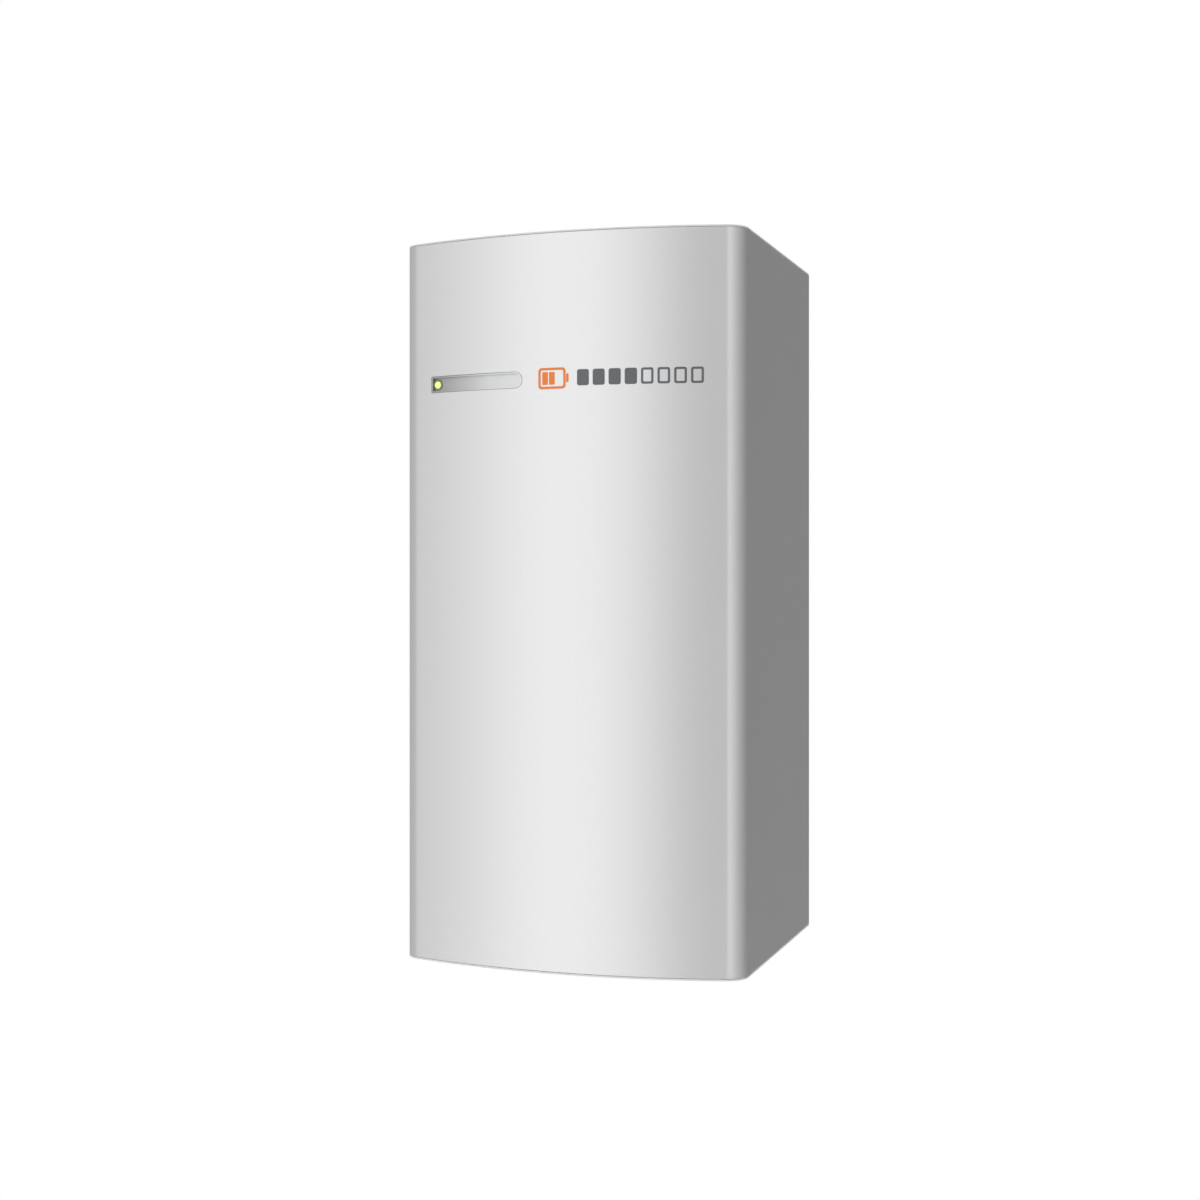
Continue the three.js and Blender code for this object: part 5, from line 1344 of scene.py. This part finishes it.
def studio_light(world):
    """A soft surround that is brightest in front on the left, with a dark gap on the right of the front."""
    world.use_nodes = True
    nodes, links = world.node_tree.nodes, world.node_tree.links

    def reckoned(operation, first, second):
        """A Math node between two values, each an output or a number."""
        made = nodes.new("ShaderNodeMath")
        made.operation = operation
        for socket, value in zip(made.inputs, (first, second)):
            if isinstance(value, bpy.types.NodeSocket):
                links.new(value, socket)
            else:
                socket.default_value = value
        return made.outputs["Value"]

    def ranged(value, start, end):
        """A Map Range node from a range to 0 to 1."""
        made = nodes.new("ShaderNodeMapRange")
        made.inputs["From Min"].default_value = start
        made.inputs["From Max"].default_value = end
        links.new(value, made.inputs["Value"])
        return made

    def mixed(factor, first, level):
        """A colour turned by a factor into a grey level."""
        made = nodes.new("ShaderNodeMix")
        made.data_type = "RGBA"
        links.new(factor, made.inputs["Factor"])
        links.new(first, made.inputs["A"])
        made.inputs["B"].default_value = (level, level, level, 1)
        return made.outputs["Result"]

    place = nodes.new("ShaderNodeTexCoord")
    parts = nodes.new("ShaderNodeSeparateXYZ")
    links.new(place.outputs["Generated"], parts.inputs["Vector"])
    flip = reckoned("MULTIPLY", parts.outputs["Y"], -1)
    angle = reckoned("ARCTAN2", parts.outputs["X"], flip)
    ramp = nodes.new("ShaderNodeValToRGB")
    ramp.color_ramp.interpolation = "EASE"
    elements = ramp.color_ramp.elements
    for _ in range(len(SURROUND) - len(elements)):
        elements.new(0.5)
    for element, (degrees, level) in zip(elements, SURROUND):
        element.position = (degrees + 180) / 360
        element.color = (level / BRIGHTEST, level / BRIGHTEST, level / BRIGHTEST, 1)
    links.new(ranged(angle, -math.pi, math.pi).outputs["Result"], ramp.inputs["Fac"])
    above = ranged(parts.outputs["Z"], 0.55, 0.9)
    above.interpolation_type = "SMOOTHSTEP"
    overhead = mixed(above.outputs["Result"], ramp.outputs["Color"], 1)
    path = nodes.new("ShaderNodeLightPath")
    seen = mixed(path.outputs["Is Camera Ray"], overhead, 0.5)
    background = nodes["Background"]
    links.new(seen, background.inputs["Color"])
    background.inputs["Strength"].default_value = BRIGHTEST


class BATTERY_OT_stage(bpy.types.Operator):
    """Makes the camera, the pale floor and the soft studio light"""

    bl_idname = "battery.stage"
    bl_label = "Stage"

    def execute(self, context):
        scene, settings = context.scene, context.scene.battery_stage
        lens = bpy.data.cameras.new("camera")
        lens.lens = settings.lens
        lens.sensor_width = SENSOR_WIDTH
        lens.shift_y = LENS_SHIFT
        lens.clip_end = FAR_LIMIT
        camera = bpy.data.objects.new("camera", lens)
        camera.location = CAMERA_PLACE
        camera.rotation_euler = Vector(CAMERA_AIM).to_track_quat("-Z", "Y").to_euler()
        scene.collection.objects.link(camera)
        scene.camera = camera
        bm = bmesh.new()
        bmesh.ops.create_circle(bm, cap_ends=True, segments=96, radius=FLOOR_RADIUS)
        bmesh.ops.translate(bm, vec=(0, 0, -settings.floor_drop), verts=bm.verts)
        mesh = bpy.data.meshes.new("floor")
        bm.to_mesh(mesh)
        bm.free()
        plaster = surface(
            "floor_plaster", settings.floor_colour, 0.8, mottle=(1.2, 0.01), grain=(60, 0.1), specular=0.1
        )
        mesh.materials.append(plaster.material)
        floor = bpy.data.objects.new("floor", mesh)
        scene.collection.objects.link(floor)
        scene.world = bpy.data.worlds.new("studio")
        studio_light(scene.world)
        scene.view_settings.view_transform = "Standard"
        return {"FINISHED"}


class BATTERY_PT_panel(bpy.types.Panel):
    """Lists the pieces and the stage"""

    bl_idname = "BATTERY_PT_panel"
    bl_label = "Wall battery unit"
    bl_space_type = "VIEW_3D"
    bl_region_type = "UI"
    bl_category = "Battery"

    def draw(self, context):
        for settings in SETTINGS:
            group = getattr(context.scene, settings)
            box = self.layout.box()
            for name in group.bl_rna.properties.keys():
                if name not in ("rna_type", "name"):
                    box.prop(group, name)
        for operator in OPERATORS:
            self.layout.operator(operator.bl_idname)


SETTINGS = {
    "battery_cover": BatteryCover,
    "battery_indicator": BatteryIndicator,
    "battery_stage": BatteryStage,
}
OPERATORS = [
    BATTERY_OT_stage, BATTERY_OT_cover, BATTERY_OT_caps, BATTERY_OT_indicator, BATTERY_OT_mark,
    BATTERY_OT_hanging, BATTERY_OT_pack_case, BATTERY_OT_modules, BATTERY_OT_converters,
    BATTERY_OT_switch_radio, BATTERY_OT_cables, BATTERY_OT_wiring_box, BATTERY_OT_terminals,
]


def register():
    for group in SETTINGS.values():
        bpy.utils.register_class(group)
    for operator in OPERATORS:
        bpy.utils.register_class(operator)
    bpy.utils.register_class(BATTERY_PT_panel)
    for name, group in SETTINGS.items():
        setattr(bpy.types.Scene, name, PointerProperty(type=group))


def unregister():
    for name in SETTINGS:
        delattr(bpy.types.Scene, name)
    for made in [BATTERY_PT_panel, *reversed(OPERATORS), *SETTINGS.values()]:
        bpy.utils.unregister_class(made)


def main():
    register()
    for operator in OPERATORS:
        category, name = operator.bl_idname.split(".")
        getattr(getattr(bpy.ops, category), name)()


if __name__ == "__main__":
    main()
